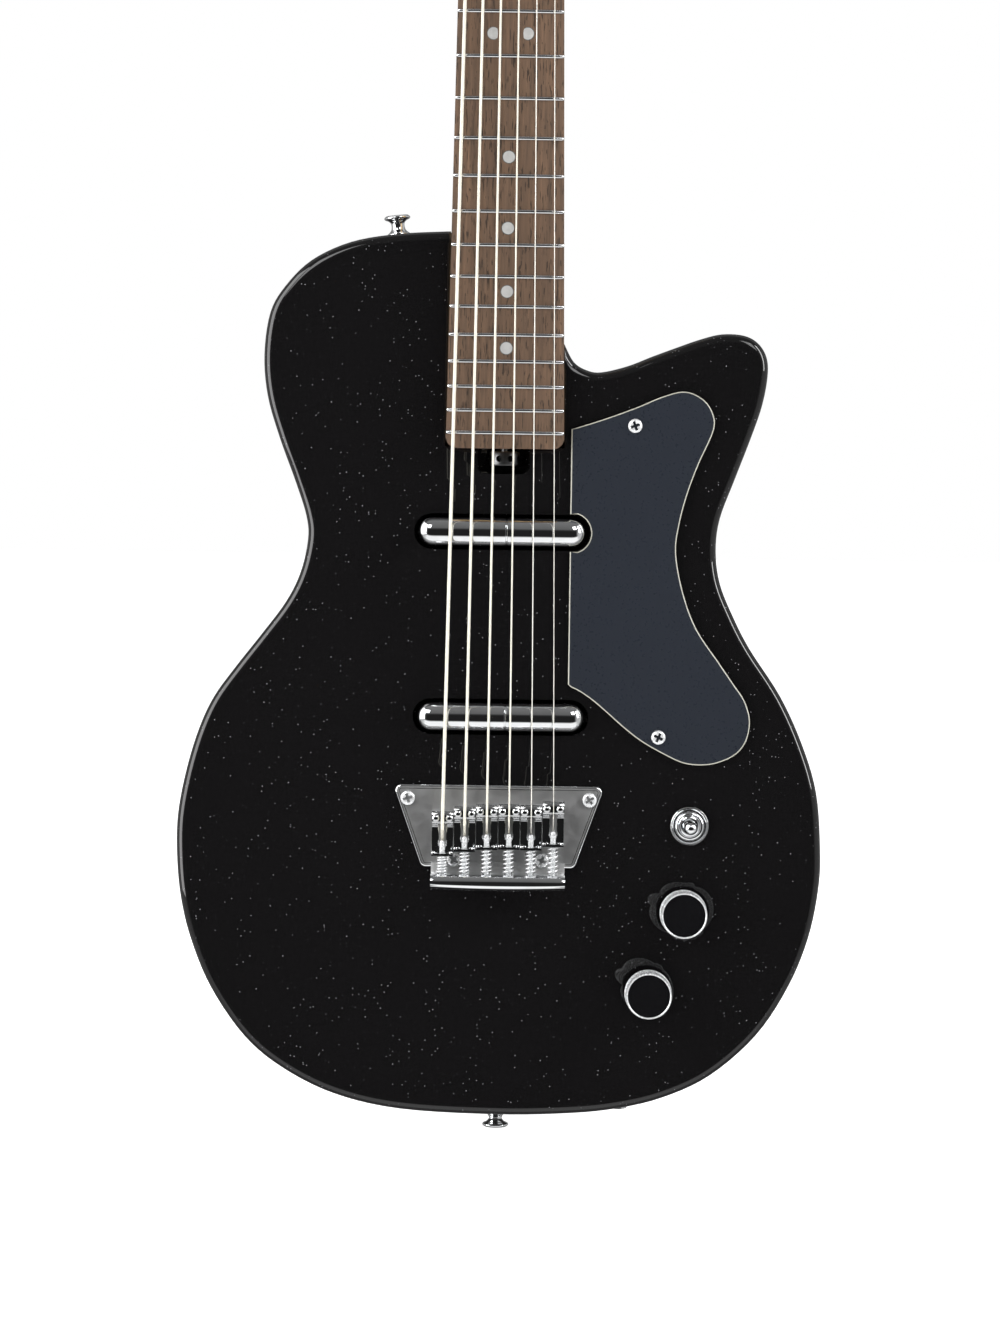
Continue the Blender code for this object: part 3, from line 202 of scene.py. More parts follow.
def rounded_rectangle(low_x, high_x, low_z, high_z, radius, steps=6):
    outline = []
    for x, z, start in ((high_x - radius, low_z + radius, 270), (high_x - radius, high_z - radius, 0),
                        (low_x + radius, high_z - radius, 90), (low_x + radius, low_z + radius, 180)):
        outline += arc((x, z), radius, start, start + 90, steps)
    return outline


def slot_outline(centre, half_length, half_width, steps=14):
    run = half_length - half_width
    return (arc((centre[0] + run, centre[1]), half_width, -90, 90, steps)
            + arc((centre[0] - run, centre[1]), half_width, 90, 270, steps))


def inset(outline, distance):
    """Moves every point of the closed outline inwards by this distance."""
    points = np.array(outline, float)
    along = np.roll(points, -1, axis=0) - np.roll(points, 1, axis=0)
    along /= np.linalg.norm(along, axis=1)[:, None]
    side = np.sign(np.sum(points[:, 0] * np.roll(points[:, 1], -1)
                          - np.roll(points[:, 0], -1) * points[:, 1]))
    return points + np.stack([-along[:, 1], along[:, 0]], axis=1) * distance * side


def levels(outline, steps):
    """Rings of an outline in the XZ plane: each step is (height above the front, inset)."""
    rings = []
    for height, step_in in steps:
        flat = inset(outline, step_in)
        rings.append([(x, up(height), z) for x, z in flat])
    return rings


def body_outline():
    low = BODY_LOW
    top = BODY_POINTS[0][1] + low
    curve = [(x, z + low) for x, z in spline(BODY_POINTS, 5)]
    corner = arc((TONGUE_EDGE_X - TONGUE_CORNER, top - TONGUE_CORNER), TONGUE_CORNER, 0, 90, 10)
    side = [(TONGUE_EDGE_X, low + height) for height in TONGUE_SIDE]
    return curve + side + corner + [(0.0, top)]


def guard_outline():
    edge = [(x, z + SADDLE_Z) for x, z in spline(GUARD_POINTS, 5)]
    spot = middle("neck_pickup")
    end_x = corners("neck_pickup")[1].x - PICKUP_RADIUS
    notch = arc((end_x, spot.z), PICKUP_RADIUS + GUARD_GAP, -72, 72, 20)
    levels_at_edge = (SADDLE_Z + GUARD_LOWER_CORNER, notch[0][1], notch[-1][1])
    lower, below, above = [(GUARD_EDGE_X, z) for z in levels_at_edge]
    return edge + [lower, below] + notch + [above]


def bent_sheet(line, thickness):
    """The outline of a sheet of this thickness bent along a line of points."""
    sides = ([], [])
    for index, point in enumerate(line):
        here = Vector(point)
        before = Vector(line[max(index - 1, 0)])
        after = Vector(line[min(index + 1, len(line) - 1)])
        ahead = (after - here if index < len(line) - 1 else here - before).normalized()
        behind = (here - before if index else after - here).normalized()
        normal = Vector((-(ahead + behind).y, (ahead + behind).x)).normalized()
        reach = thickness / 2 / max(normal.dot(Vector((-ahead.y, ahead.x))), 0.4)
        for side, points in zip((-1, 1), sides):
            points.append(tuple(here + normal * side * reach))
    return sides[0] + list(reversed(sides[1]))


# ------------------------------------------------------------------ modelling by operators

def pick(*pieces):
    """Selects these pieces only, the last one active."""
    if bpy.context.object and bpy.context.object.mode != "OBJECT":
        bpy.ops.object.mode_set(mode="OBJECT")
    bpy.ops.object.select_all(action="DESELECT")
    for piece in pieces:
        piece.select_set(True)
        bpy.context.view_layer.objects.active = piece


def begin(name):
    piece = bpy.context.object
    piece.name = name
    return piece


def move_points(piece, points):
    """Puts the mesh's points at these places, given in millimetres."""
    piece.data.vertices.foreach_set("co", (np.array(points, float) * MM).ravel())
    piece.data.update()


def tidy_mesh(piece, threshold=0.000001):
    """Merges points that touch and turns every face outwards."""
    pick(piece)
    bpy.ops.object.mode_set(mode="EDIT")
    bpy.ops.mesh.select_all(action="SELECT")
    bpy.ops.mesh.remove_doubles(threshold=threshold)
    bpy.ops.mesh.normals_make_consistent(inside=False)
    bpy.ops.object.mode_set(mode="OBJECT")
    return piece


def apply_place(piece, matrix):
    pick(piece)
    piece.matrix_world = matrix
    bpy.ops.object.transform_apply(location=True, rotation=True, scale=True)
    return piece


def loft(name, rings):
    """A closed skin through rings of points: a disc extruded once a ring, then pulled to them."""
    sides = len(rings[0])
    pick()
    bpy.ops.mesh.primitive_circle_add(vertices=sides, radius=1.0, fill_type="NGON")
    piece = begin(name)
    bpy.ops.object.mode_set(mode="EDIT")
    bpy.ops.mesh.select_all(action="SELECT")
    for _ in rings[1:]:
        bpy.ops.mesh.extrude_region_move(TRANSFORM_OT_translate={"value": (0, 0, 1)})
    bpy.ops.object.mode_set(mode="OBJECT")
    flat = np.zeros(len(piece.data.vertices) * 3)
    piece.data.vertices.foreach_get("co", flat)
    flat = flat.reshape(-1, 3)
    level = np.rint(flat[:, 2]).astype(int)
    turn = np.arctan2(flat[:, 1], flat[:, 0]) / math.tau * sides
    turn = np.rint(turn - turn[0]).astype(int) % sides
    move_points(piece, np.array(rings, float)[level, turn])
    return tidy_mesh(piece)


def turned(name, profile, matrix=Matrix(), steps=48):
    """A turned piece: the (radius, height) profile is spun round Z, then put in place."""
    pick()
    bpy.ops.mesh.primitive_circle_add(vertices=len(profile), fill_type="NOTHING")
    piece = begin(name)
    move_points(piece, [(radius, 0, height) for radius, height in profile])
    if profile[0][0] == 0 and profile[-1][0] == 0:
        last = len(profile) - 1
        for part in (piece.data.vertices, piece.data.edges):
            part.foreach_set("select", [False] * len(part))
        for edge in piece.data.edges:
            if set(edge.vertices) == {0, last}:
                edge.select = True
        bpy.ops.object.mode_set(mode="EDIT")
        bpy.ops.mesh.select_mode(type="EDGE")
        bpy.ops.mesh.delete(type="EDGE")
        bpy.ops.mesh.select_mode(type="VERT")
    else:
        bpy.ops.object.mode_set(mode="EDIT")
    bpy.ops.mesh.select_all(action="SELECT")
    bpy.ops.mesh.spin(steps=steps, angle=math.tau, center=(0, 0, 0), axis=(0, 0, 1))
    bpy.ops.object.mode_set(mode="OBJECT")
    tidy_mesh(piece)
    return apply_place(piece, matrix)


def block(name, low, high):
    """A box between two corners, in millimetres."""
    pick()
    low, high = Vector(low), Vector(high)
    bpy.ops.mesh.primitive_cube_add(size=1.0, location=(low + high) / 2 * MM, scale=(high - low) * MM)
    piece = begin(name)
    bpy.ops.object.transform_apply(location=True, rotation=True, scale=True)
    return piece


def rod(name, start, end, radius, sides=24):
    """A round bar between two points, in millimetres."""
    start, end = Vector(start), Vector(end)
    along = end - start
    turn = along.to_track_quat("Z", "Y").to_matrix().to_4x4()
    pick()
    bpy.ops.mesh.primitive_cylinder_add(vertices=sides, radius=radius * MM, depth=along.length * MM)
    return apply_place(begin(name), Matrix.Translation((start + end) / 2 * MM) @ turn)


def wire(name, path, radius, resolution=3, closed_ends=True):
    """A round wire along a line of points, in millimetres, made a mesh."""
    pick()
    bpy.ops.curve.primitive_bezier_curve_add()
    piece = begin(name)
    curve = piece.data
    curve.splines.clear()
    line = curve.splines.new("POLY")
    line.points.add(len(path) - 1)
    for point, place in zip(line.points, path):
        point.co = (*(Vector(place) * MM), 1.0)
    curve.dimensions = "3D"
    curve.bevel_depth = radius * MM
    curve.bevel_resolution = resolution
    curve.use_fill_caps = closed_ends
    bpy.ops.object.convert(target="MESH")
    return tidy_mesh(piece)


def joined(name, *pieces):
    pick(*pieces)
    bpy.ops.object.join()
    return begin(name)


def copied(piece, name, matrix=Matrix()):
    """A copy with its own mesh, moved by the matrix."""
    pick(piece)
    bpy.ops.object.duplicate()
    return apply_place(begin(name), matrix)


def combine(piece, *others, operation="DIFFERENCE"):
    """Cuts the other shapes out of the piece, or adds them to it, and removes them."""
    for other in others:
        pick(piece)
        bpy.ops.object.modifier_add(type="BOOLEAN")
        modifier = piece.modifiers[-1]
        modifier.operation = operation
        modifier.solver = "EXACT"
        modifier.object = other
        bpy.ops.object.modifier_apply(modifier=modifier.name)
        bpy.data.objects.remove(other)
    return piece


def cut_cross(piece, long, wide, low, high):
    """Cuts a cross recess between two heights, its arms this long and wide from the centre."""
    for half_x, half_y in ((long, wide), (wide, long)):
        combine(piece, block("recess", (-half_x, -half_y, low), (half_x, half_y, high)))


def soften(piece, width, segments=2, degrees=40):
    """Rounds every edge sharper than this angle."""
    pick(piece)
    bpy.ops.object.modifier_add(type="BEVEL")
    modifier = piece.modifiers[-1]
    modifier.width = width * MM
    modifier.segments = segments
    modifier.limit_method = "ANGLE"
    modifier.angle_limit = math.radians(degrees)
    modifier.use_clamp_overlap = True
    bpy.ops.object.modifier_apply(modifier=modifier.name)
    return piece


def complete(piece, materials, body, replaced=(), degrees=30.0):
    """Shades the piece, gives it its materials and ties it to its CAD body.

    A body given as (body, other, start, end) is not used: the piece is only fixed in place and tied to no
    body.
    """
    pick(piece)
    bpy.ops.object.shade_smooth_by_angle(angle=math.radians(degrees))
    for material in materials:
        piece.data.materials.append(material)
    if isinstance(body, str):
        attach(piece, body)
    else:
        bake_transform(piece)
    if replaced:
        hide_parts(*replaced)
    return piece


def paint(piece, index, test):
    """Gives the numbered material to each face that the test picks, by centre in millimetres."""
    for face in piece.data.polygons:
        if test(face.center / MM, face.normal):
            face.material_index = index


def frame_at(origin, up_axis, side_axis):
    """A placement whose Z is the up axis and whose X is the side axis, origin in millimetres."""
    z = Vector(up_axis).normalized()
    x = Vector(side_axis)
    x = (x - z * x.dot(z)).normalized()
    turn = Matrix((x, z.cross(x), z)).transposed().to_4x4()
    return Matrix.Translation(Vector(origin) * MM) @ turn


def facing_front(x, z, height=0.0):
    return frame_at((x, up(height), z), (0, -1, 0), (1, 0, 0))


def jack_seat():
    """Placement on the jack's seat in the body's lower edge, Z pointing down and out."""
    spot, low = middle("output_jack"), corners("output_jack")[0]
    return frame_at((spot.x, spot.y, low.z + JACK_SEAT_DEPTH), (0, 0, -1), (1, 0, 0))


def headstock_frame(x, distance, height, side=0):
    origin = headstock_point(x, distance, height)
    out = headstock_point(x, distance, height + 1) - origin
    if side == 0:
        return frame_at(origin, out, (1, 0, 0))
    return frame_at(origin, (side, 0, 0), out)


# ------------------------------------------------------------------ materials

class Look:
    """A material being made: its nodes, its shader, and patterns placed on the object."""

    def __init__(self, name, color, roughness, metallic=0.0, **sockets):
        self.material = bpy.data.materials.new(name)
        self.material.use_nodes = True
        self.tree = self.material.node_tree
        self.shader = self.tree.nodes["Principled BSDF"]
        self.shader.inputs["Base Color"].default_value = (*color, 1.0)
        self.shader.inputs["Roughness"].default_value = roughness
        self.shader.inputs["Metallic"].default_value = metallic
        for socket, value in sockets.items():
            self.shader.inputs[socket.replace("_", " ")].default_value = value

    def grow(self, kind, values=None, **attributes):
        node = self.tree.nodes.new("ShaderNode" + kind)
        for name, value in attributes.items():
            setattr(node, name, value)
        for name, value in (values or {}).items():
            node.inputs[name].default_value = value
        return node

    def tie(self, start, end):
        self.tree.links.new(start, end)

    def place(self, stretch=(1, 1, 1)):
        """Object coordinates, stretched: a small number makes a pattern long that way."""
        coordinates = self.grow("TexCoord")
        mapping = self.grow("Mapping", {"Scale": stretch})
        self.tie(coordinates.outputs["Object"], mapping.inputs["Vector"])
        return mapping.outputs["Vector"]

    def noise(self, scale, detail=3.0, stretch=(1, 1, 1), roughness=0.5):
        noise = self.grow("TexNoise", {"Scale": scale, "Detail": detail, "Roughness": roughness})
        self.tie(self.place(stretch), noise.inputs["Vector"])
        return noise.outputs["Fac"]

    def cells(self, scale):
        cells = self.grow("TexVoronoi", {"Scale": scale})
        self.tie(self.place(), cells.inputs["Vector"])
        return cells

    def span(self, source, low, high, to_low, to_high):
        span = self.grow("MapRange", {"From Min": low, "From Max": high,
                                      "To Min": to_low, "To Max": to_high})
        self.tie(source, span.inputs["Value"])
        return span.outputs["Result"]

    def ramp(self, source, *stops):
        """A colour for each (position, colour) stop."""
        ramp = self.grow("ValToRGB")
        elements = ramp.color_ramp.elements
        while len(elements) < len(stops):
            elements.new(0.5)
        for element, (position, color) in zip(elements, stops):
            element.position = position
            element.color = (*color, 1.0)
        self.tie(source, ramp.inputs["Fac"])
        return ramp.outputs["Color"]

    def mixed(self, share, first, second):
        """Blends from the first colour to the second; each is a colour or a socket."""
        mix = self.grow("Mix", data_type="RGBA")
        for socket, value in zip((mix.inputs[6], mix.inputs[7]), (first, second)):
            if isinstance(value, bpy.types.NodeSocket):
                self.tie(value, socket)
            else:
                socket.default_value = (*value, 1.0)
        self.tie(share, mix.inputs["Factor"])
        return mix.outputs[2]

    def calculate(self, operation, first, second):
        maths = self.grow("Math", operation=operation)
        for socket, value in zip(maths.inputs, (first, second)):
            if isinstance(value, bpy.types.NodeSocket):
                self.tie(value, socket)
            else:
                socket.default_value = value
        return maths.outputs["Value"]

    def relief(self, height, depth, strength=1.0):
        """Bumps this deep, in millimetres."""
        bump = self.grow("Bump", {"Strength": strength, "Distance": depth * MM})
        self.tie(height, bump.inputs["Height"])
        self.tie(bump.outputs["Normal"], self.shader.inputs["Normal"])

    def into(self, socket, source):
        self.tie(source, self.shader.inputs[socket])


def darker(color, share):
    return tuple(part * share for part in color)


def lacquer_look(colors):
    """Gloss black with a sparse sparkle and a faint polish haze."""
    look = Look("black_lacquer", colors.lacquer, 0.5, Coat_Weight=1.0, Coat_Roughness=0.02,
                Specular_IOR_Level=0.0)
    haze = look.noise(38.0, 4.0)
    look.into("Roughness", look.span(haze, 0.35, 0.7, 0.45, 0.55))
    cells = look.cells(620.0)
    small = look.calculate("LESS_THAN", cells.outputs["Distance"], 0.13)
    split = look.grow("SeparateColor")
    look.tie(cells.outputs["Color"], split.inputs["Color"])
    rare = look.calculate("GREATER_THAN", split.outputs["Red"], 0.66)
    speck = look.calculate("MULTIPLY", small, rare)
    bright = look.calculate("MULTIPLY", speck, split.outputs["Green"])
    look.into("Base Color", look.mixed(bright, colors.lacquer, colors.sparkle))
    look.relief(look.noise(26.0, 2.0), 0.05, 0.06)
    return look.material


def mottled_look(name, color, shade, pattern, polish, metallic=0.0, **sockets):
    """A finish whose colour and polish vary a little.

    The pattern is (scale, detail, where the full colour starts); the polish is (scale, detail,
    smoothest, roughest).
    """
    scale, detail, full = pattern
    fine, fine_detail, smoothest, roughest = polish
    look = Look(name, color, smoothest, metallic, **sockets)
    look.into("Base Color", look.ramp(look.noise(scale, detail), (0.3, darker(color, shade)),
                                      (full, color)))
    look.into("Roughness", look.span(look.noise(fine, fine_detail), 0.3, 0.7, smoothest, roughest))
    return look


def guard_look(colors):
    look = mottled_look("guard_slate", colors.guard, 0.97, (260.0, 3.0, 0.7), (700.0, 3.0, 0.26, 0.34))
    look.relief(look.noise(1500.0, 3.0), 0.004, 0.06)
    return look.material


def guard_edge_look(colors):
    return mottled_look("guard_edge_cream", colors.guard_edge, 0.86, (300.0, 3.0, 0.7),
                        (500.0, 3.0, 0.28, 0.42)).material


def metal_look(name, color, low, high, grain=(1, 1, 1), scratch=0.004, tarnish=0.85):
    """Plated or bare metal: patchy polish, hairline scratches and a little tarnish."""
    look = Look(name, color, (low + high) / 2, 1.0)
    look.into("Roughness", look.span(look.noise(220.0, 5.0, grain), 0.3, 0.7, low, high))
    look.into("Base Color", look.ramp(look.noise(120.0, 4.0), (0.35, darker(color, tarnish)),
                                      (0.62, color)))
    look.relief(look.noise(1400.0, 3.0, grain), scratch, 0.4)
    return look.material


def chrome_look(colors):
    return metal_look("chrome", colors.chrome, 0.03, 0.09, scratch=0.001, tarnish=0.94)


def plate_look(colors):
    return metal_look("bridge_nickel", colors.plate, 0.42, 0.5, scratch=0.003, tarnish=0.93)


# Painted shade: the saddles' chrome gets a darker base colour, standing in for the dark surroundings that
# the chrome reflects.
def saddle_shaded_chrome_look(colors):
    return metal_look("saddle_chrome_painted_shade", darker(colors.chrome, 0.72), 0.05, 0.12, scratch=0.001,
                      tarnish=0.9)


def screw_look(colors):
    """Nickelled screw heads, a little dulled so that their crosses show dark."""
    return mottled_look("screw_nickel", colors.chrome, 0.8, (500.0, 4.0, 0.6),
                        (700.0, 3.0, 0.2, 0.32), 0.5).material


def steel_look(colors):
    return metal_look("steel", darker(colors.nickel, 0.9), 0.2, 0.38, scratch=0.006, tarnish=0.7)


def fret_look(colors):
    return metal_look("fret_nickel", colors.chrome, 0.1, 0.2, scratch=0.002)


def wheel_look(colors):
    return metal_look("spoke_wheel_steel", darker(colors.nickel, 0.35), 0.28, 0.45, tarnish=0.75)


def nut_look(colors):
    return metal_look("nut_aluminium", (0.78, 0.79, 0.8), 0.25, 0.4, (6, 1, 1))


def board_look(colors):
    """Medium brown wood with long dark streaks and open pores along the neck."""
    look = Look("fingerboard_wood", colors.board, 0.5)
    streaks = look.noise(520.0, 6.0, (1.0, 1.0, 0.06), 0.65)
    broad = look.noise(110.0, 3.0, (1.0, 1.0, 0.12))
    brown = look.ramp(streaks, (0.32, darker(colors.board, 0.5)), (0.46, darker(colors.board, 0.85)),
                      (0.58, colors.board), (0.72, tuple(min(1, c * 1.4) for c in colors.board)))
    shade = look.span(broad, 0.4, 0.7, 0.0, 0.45)
    toned = look.mixed(shade, brown, darker(colors.board, 0.55))
    pores = look.noise(1300.0, 2.0, (1.0, 1.0, 0.11))
    open_pore = look.calculate("LESS_THAN", pores, 0.39)
    look.into("Base Color", look.mixed(open_pore, toned, darker(colors.board, 0.3)))
    look.into("Roughness", look.span(streaks, 0.3, 0.7, 0.55, 0.4))
    look.relief(streaks, 0.06, 0.5)
    return look.material


def maple_look(colors):
    look = Look("neck_maple", colors.maple, 0.35, Coat_Weight=0.4, Coat_Roughness=0.15)
    grain = look.noise(120.0, 6.0, (1.0, 1.0, 0.05), 0.6)
    flame = look.noise(45.0, 2.0, (1.0, 1.0, 0.6))
    tone = look.ramp(grain, (0.32, darker(colors.maple, 0.66)), (0.5, darker(colors.maple, 0.9)),
                     (0.66, colors.maple))
    look.into("Base Color", look.mixed(look.span(flame, 0.4, 0.7, 0.0, 0.3), tone,
                                       darker(colors.maple, 0.72)))
    look.into("Roughness", look.span(grain, 0.3, 0.7, 0.42, 0.3))
    look.relief(grain, 0.02, 0.3)
    return look.material


def pearl_look(colors):
    return mottled_look("pearl_dot", colors.pearl, 0.86, (300.0, 4.0, 0.7), (300.0, 4.0, 0.12, 0.3),
                        Coat_Weight=0.6, Coat_Roughness=0.05).material


def pearl_rim_look(colors):
    look = Look("pearl_rim", darker(colors.pearl, 0.25), 0.45)
    look.into("Base Color", look.ramp(look.noise(900.0), (0.3, darker(colors.pearl, 0.12)),
                                      (0.7, darker(colors.pearl, 0.3))))
    return look.material


def wound_look(colors):
    """Bright round winding: fine ribs along the string, their grooves darkened as painted shade."""
    look = Look("wound_string", colors.wound_string, 0.45, 0.3)
    ribs = look.grow("TexWave", {"Scale": 1250.0, "Distortion": 0.0}, wave_type="BANDS",
                     bands_direction="Z", wave_profile="SIN")
    look.tie(look.place(), ribs.inputs["Vector"])
    # Painted shade: the low parts of the ribs, the grooves between the turns, are coloured darker.
    look.into("Base Color", look.ramp(ribs.outputs["Fac"], (0.0, darker(colors.wound_string, 0.6)),
                                      (0.45, colors.wound_string)))
    look.into("Roughness", look.span(look.noise(500.0), 0.3, 0.7, 0.3, 0.44))
    look.relief(ribs.outputs["Fac"], 0.08, 0.6)
    return look.material


def plain_string_look(colors):
    return mottled_look("plain_string", colors.plain_string, 0.9, (300.0, 3.0, 0.6),
                        (500.0, 3.0, 0.25, 0.38), 0.35).material


def black_plastic_look(colors):
    look = Look("black_plastic", colors.knob, 0.1, Coat_Weight=0.5, Coat_Roughness=0.03)
    look.into("Roughness", look.span(look.noise(200.0, 4.0), 0.3, 0.7, 0.06, 0.2))
    look.relief(look.noise(700.0, 3.0), 0.004, 0.3)
    return look.material


def ivory_look(colors):
    return mottled_look("button_plastic", colors.button, 0.78, (140.0, 4.0, 0.65),
                        (300.0, 3.0, 0.18, 0.34), Subsurface_Weight=0.1).material


LOOKS = {
    "lacquer": lacquer_look, "guard": guard_look, "guard_edge": guard_edge_look,
    "chrome": chrome_look, "plate": plate_look, "saddle": saddle_shaded_chrome_look, "screw": screw_look,
    "steel": steel_look, "fret": fret_look,
    "wheel": wheel_look, "nut": nut_look, "board": board_look, "maple": maple_look,
    "pearl": pearl_look, "pearl_rim": pearl_rim_look, "wound": wound_look,
    "plain": plain_string_look, "black_plastic": black_plastic_look, "ivory": ivory_look,
}
made_looks = {}


def look(name):
    """The finished material of this name, made the first time it is asked for."""
    if name not in made_looks:
        made_looks[name] = LOOKS[name](bpy.context.scene.guitar_colors)
    return made_looks[name]


# ------------------------------------------------------------------ settings

def color_property(name, description, default):
    return FloatVectorProperty(name=name, description=description, default=default,
                               subtype="COLOR", size=3, min=0.0, max=1.0)


def length_property(name, description, default):
    return FloatProperty(name=name, description=description, default=default * MM,
                         subtype="DISTANCE", unit="LENGTH", min=0.0)


class GuitarColors(bpy.types.PropertyGroup):
    """Base colours of the finishes."""
    lacquer: color_property("Lacquer", "Body lacquer", (0.0046, 0.0044, 0.0046))
    sparkle: color_property("Sparkle", "Fine flakes in the lacquer", (0.3, 0.3, 0.32))
    guard: color_property("Pickguard", "Top layer of the pickguard", (0.0158, 0.0192, 0.0268))
    guard_edge: color_property("Pickguard edge", "Layer shown by the bevel", (0.46, 0.45, 0.38))
    chrome: color_property("Chrome", "Plated parts", (0.86, 0.87, 0.88))
    nickel: color_property("Nickel", "Small steel parts", (0.5, 0.5, 0.51))
    plate: color_property("Bridge plate", "Satin plating of the bridge plate", (0.72, 0.72, 0.72))
    board: color_property("Fingerboard", "Fingerboard wood", (0.126, 0.074, 0.044))
    maple: color_property("Neck", "Neck wood", (0.62, 0.42, 0.2))
    pearl: color_property("Dots", "Position dots", (0.4, 0.4, 0.39))
    wound_string: color_property("Wound strings", "Bass strings", (0.86, 0.83, 0.72))
    plain_string: color_property("Plain strings", "Treble strings", (0.86, 0.84, 0.77))
    knob: color_property("Knob tops", "Knob caps and skirts", (0.004, 0.004, 0.0045))
    button: color_property("Tuner buttons", "Tuner button plastic", (0.72, 0.66, 0.5))


class GuitarSizes(bpy.types.PropertyGroup):
    """Sizes that a maker would change."""
    edge_radius: length_property("Body edge", "Radius of the body's rounded edges", 5.0)
    guard_bevel: length_property("Guard bevel", "Width of the pickguard's bevel", 0.65)
    knurls: IntProperty(name="Knurls", description="Ribs round each knob", default=60, min=12)
    spring_turns: IntProperty(name="Spring turns", description="Turns in each saddle spring",
                              default=6, min=3)


class GuitarStage(bpy.types.PropertyGroup):
    """Camera and lights."""
    distance: FloatProperty(name="Camera distance", description="From the strings to the camera",
                            default=2.0, subtype="DISTANCE", unit="LENGTH")
    frame_height: FloatProperty(name="Frame height", description="Height seen at the strings",
                                default=0.66106, subtype="DISTANCE", unit="LENGTH")
    roll: FloatProperty(name="Camera roll", description="Turn of the camera about its axis",
                        default=math.radians(0.814), subtype="ANGLE", unit="ROTATION")
    key_power: FloatProperty(name="Key light", description="Power of the main soft light",
                             default=9.0, subtype="POWER", unit="POWER")
    fill_power: FloatProperty(name="Fill light", description="Power of the other soft lights",
                              default=16.0, subtype="POWER", unit="POWER")


# ------------------------------------------------------------------ body

def body_profile(radius, thickness):
    """Steps for levels(), from the front face over both rounded edges to the back face."""
    front = [(0.0, radius + 1.0)]
    for degrees in range(0, 91, 10):
        a = math.radians(degrees)
        front.append((-radius * (1 - math.cos(a)), radius * (1 - math.sin(a))))
    back = [(-thickness - height, step_in) for height, step_in in reversed(front)]
    return front + back


def body_cutters():
    """The neck pocket, truss well, pickup slots, control holes and jack bore."""
    low, high = FRONT - 3.0, FRONT + POCKET_DEPTH
    ends = (BOARD_END_Z + 0.7, BODY_LOW + 455.0)
    half = [neck_half_width(z) + 0.4 for z in ends]
    pocket = [(-half[0], ends[0]), (half[0], ends[0]), (half[1], ends[1]), (-half[1], ends[1])]
    well = rounded_rectangle(-13.5, 12.6, SADDLE_Z + 168.3, BOARD_END_Z + 6.0, 3.5)
    yield loft("pocket", [[(x, y, z) for x, z in pocket] for y in (low, high)])
    yield loft("well", [[(x, y, z) for x, z in well] for y in (low, high + 0.5)])
    for node in PICKUPS:
        spot = middle(node)
        box_low, box_high = corners(node)
        slot = slot_outline((spot.x, spot.z), (box_high.x - box_low.x) / 2 + 2.0,
                            PICKUP_RADIUS + PICKUP_SLOT_MARGIN)
        yield loft("slot", [[(x, y, z) for x, z in slot] for y in (low, FRONT + 17.0)])
    for node, radius in (("volume_knob", 4.4), ("tone_knob", 4.4), ("selector_lever", 6.4)):
        spot = middle(node)
        yield rod("hole", (spot.x, low, spot.z), (spot.x, FRONT + 26.0, spot.z), radius)
    yield turned("jack_bore", [(0, -25), (5.3, -25), (5.3, 0), (8.0, 0), (8.0, 12), (0, 12)],
                 jack_seat())


class GUITAR_OT_body(bpy.types.Operator):
    """Model the lacquered body with its rounded edges, pocket and slots"""
    bl_idname = "guitar.body"
    bl_label = "Body"

    def execute(self, context):
        radius = context.scene.guitar_sizes.edge_radius / MM
        shell = loft("body_shell", levels(body_outline(), body_profile(radius, BACK - FRONT)))
        combine(shell, *body_cutters())
        soften(shell, 0.4, 2, 60)
        complete(shell, [look("lacquer")], "guitar",
                 ("top_panel", "back_panel", "body_frame"))
        return {"FINISHED"}


# ------------------------------------------------------------------ screws and pickguard

def cross_head_screw(name, radius, height, matrix, turn=0.0):
    """A domed head with a cross recess, its seat at the matrix's origin."""
    dome = [(0, -2.0), (radius * 0.45, -2.0), (radius * 0.45, 0.0), (radius, 0.0), (radius, 0.35)]
    for degrees in range(15, 90, 15):
        a = math.radians(degrees)
        dome.append((radius * math.cos(a), 0.35 + (height - 0.35) * math.sin(a)))
    screw = turned(name, dome + [(0, height)], steps=32)
    cut_cross(screw, radius * 0.66, radius * 0.19, height - 1.9, height + 1)
    soften(screw, 0.1, 1, 50)
    return apply_place(screw, matrix @ Matrix.Rotation(math.radians(turn), 4, "Z"))


class GUITAR_OT_pickguard(bpy.types.Operator):
    """Model the pickguard with its pale bevel and two screws"""
    bl_idname = "guitar.pickguard"
    bl_label = "Pickguard"

    def execute(self, context):
        bevel = context.scene.guitar_sizes.guard_bevel / MM
        foot, top = 0.3, 2.5
        steps = [(foot, 0.0), (top - bevel, 0.0), (top - bevel + 0.08, 0.03),
                 (top - 0.06, bevel - 0.1), (top, bevel), (top, bevel + 0.5)]
        guard = loft("pickguard_plate", levels(guard_outline(), steps))
        complete(guard, [look("guard"), look("guard_edge")], "guitar",
                 ("pickguard",), 20.0)
        low, high = up(top - 0.07), up(top - bevel + 0.02)
        paint(guard, 1, lambda centre, normal: low < centre.y < high)
        for node, turn in (("pickguard_screw_upper", 20.0), ("pickguard_screw_lower", 65.0)):
            spot = middle(node)
            screw = cross_head_screw(node + "_head", 3.6, 1.8, facing_front(spot.x, spot.z, top), turn)
            complete(screw, [look("screw")], "guitar", (node,))
        return {"FINISHED"}


# ------------------------------------------------------------------ neck

def neck_ring(z, front, half, depth, power, steps=36):
    """A section: a flat front and a back curve that is boxy where power is high."""
    ring = [(-half, front, z), (half, front, z)]
    for index in range(1, steps):
        angle = math.pi * index / steps
        x = half * math.copysign(abs(math.cos(angle)) ** (2 / power), math.cos(angle))
        ring.append((x, front + depth * (0.12 + 0.88 * math.sin(angle) ** (2 / power)), z))
    return ring


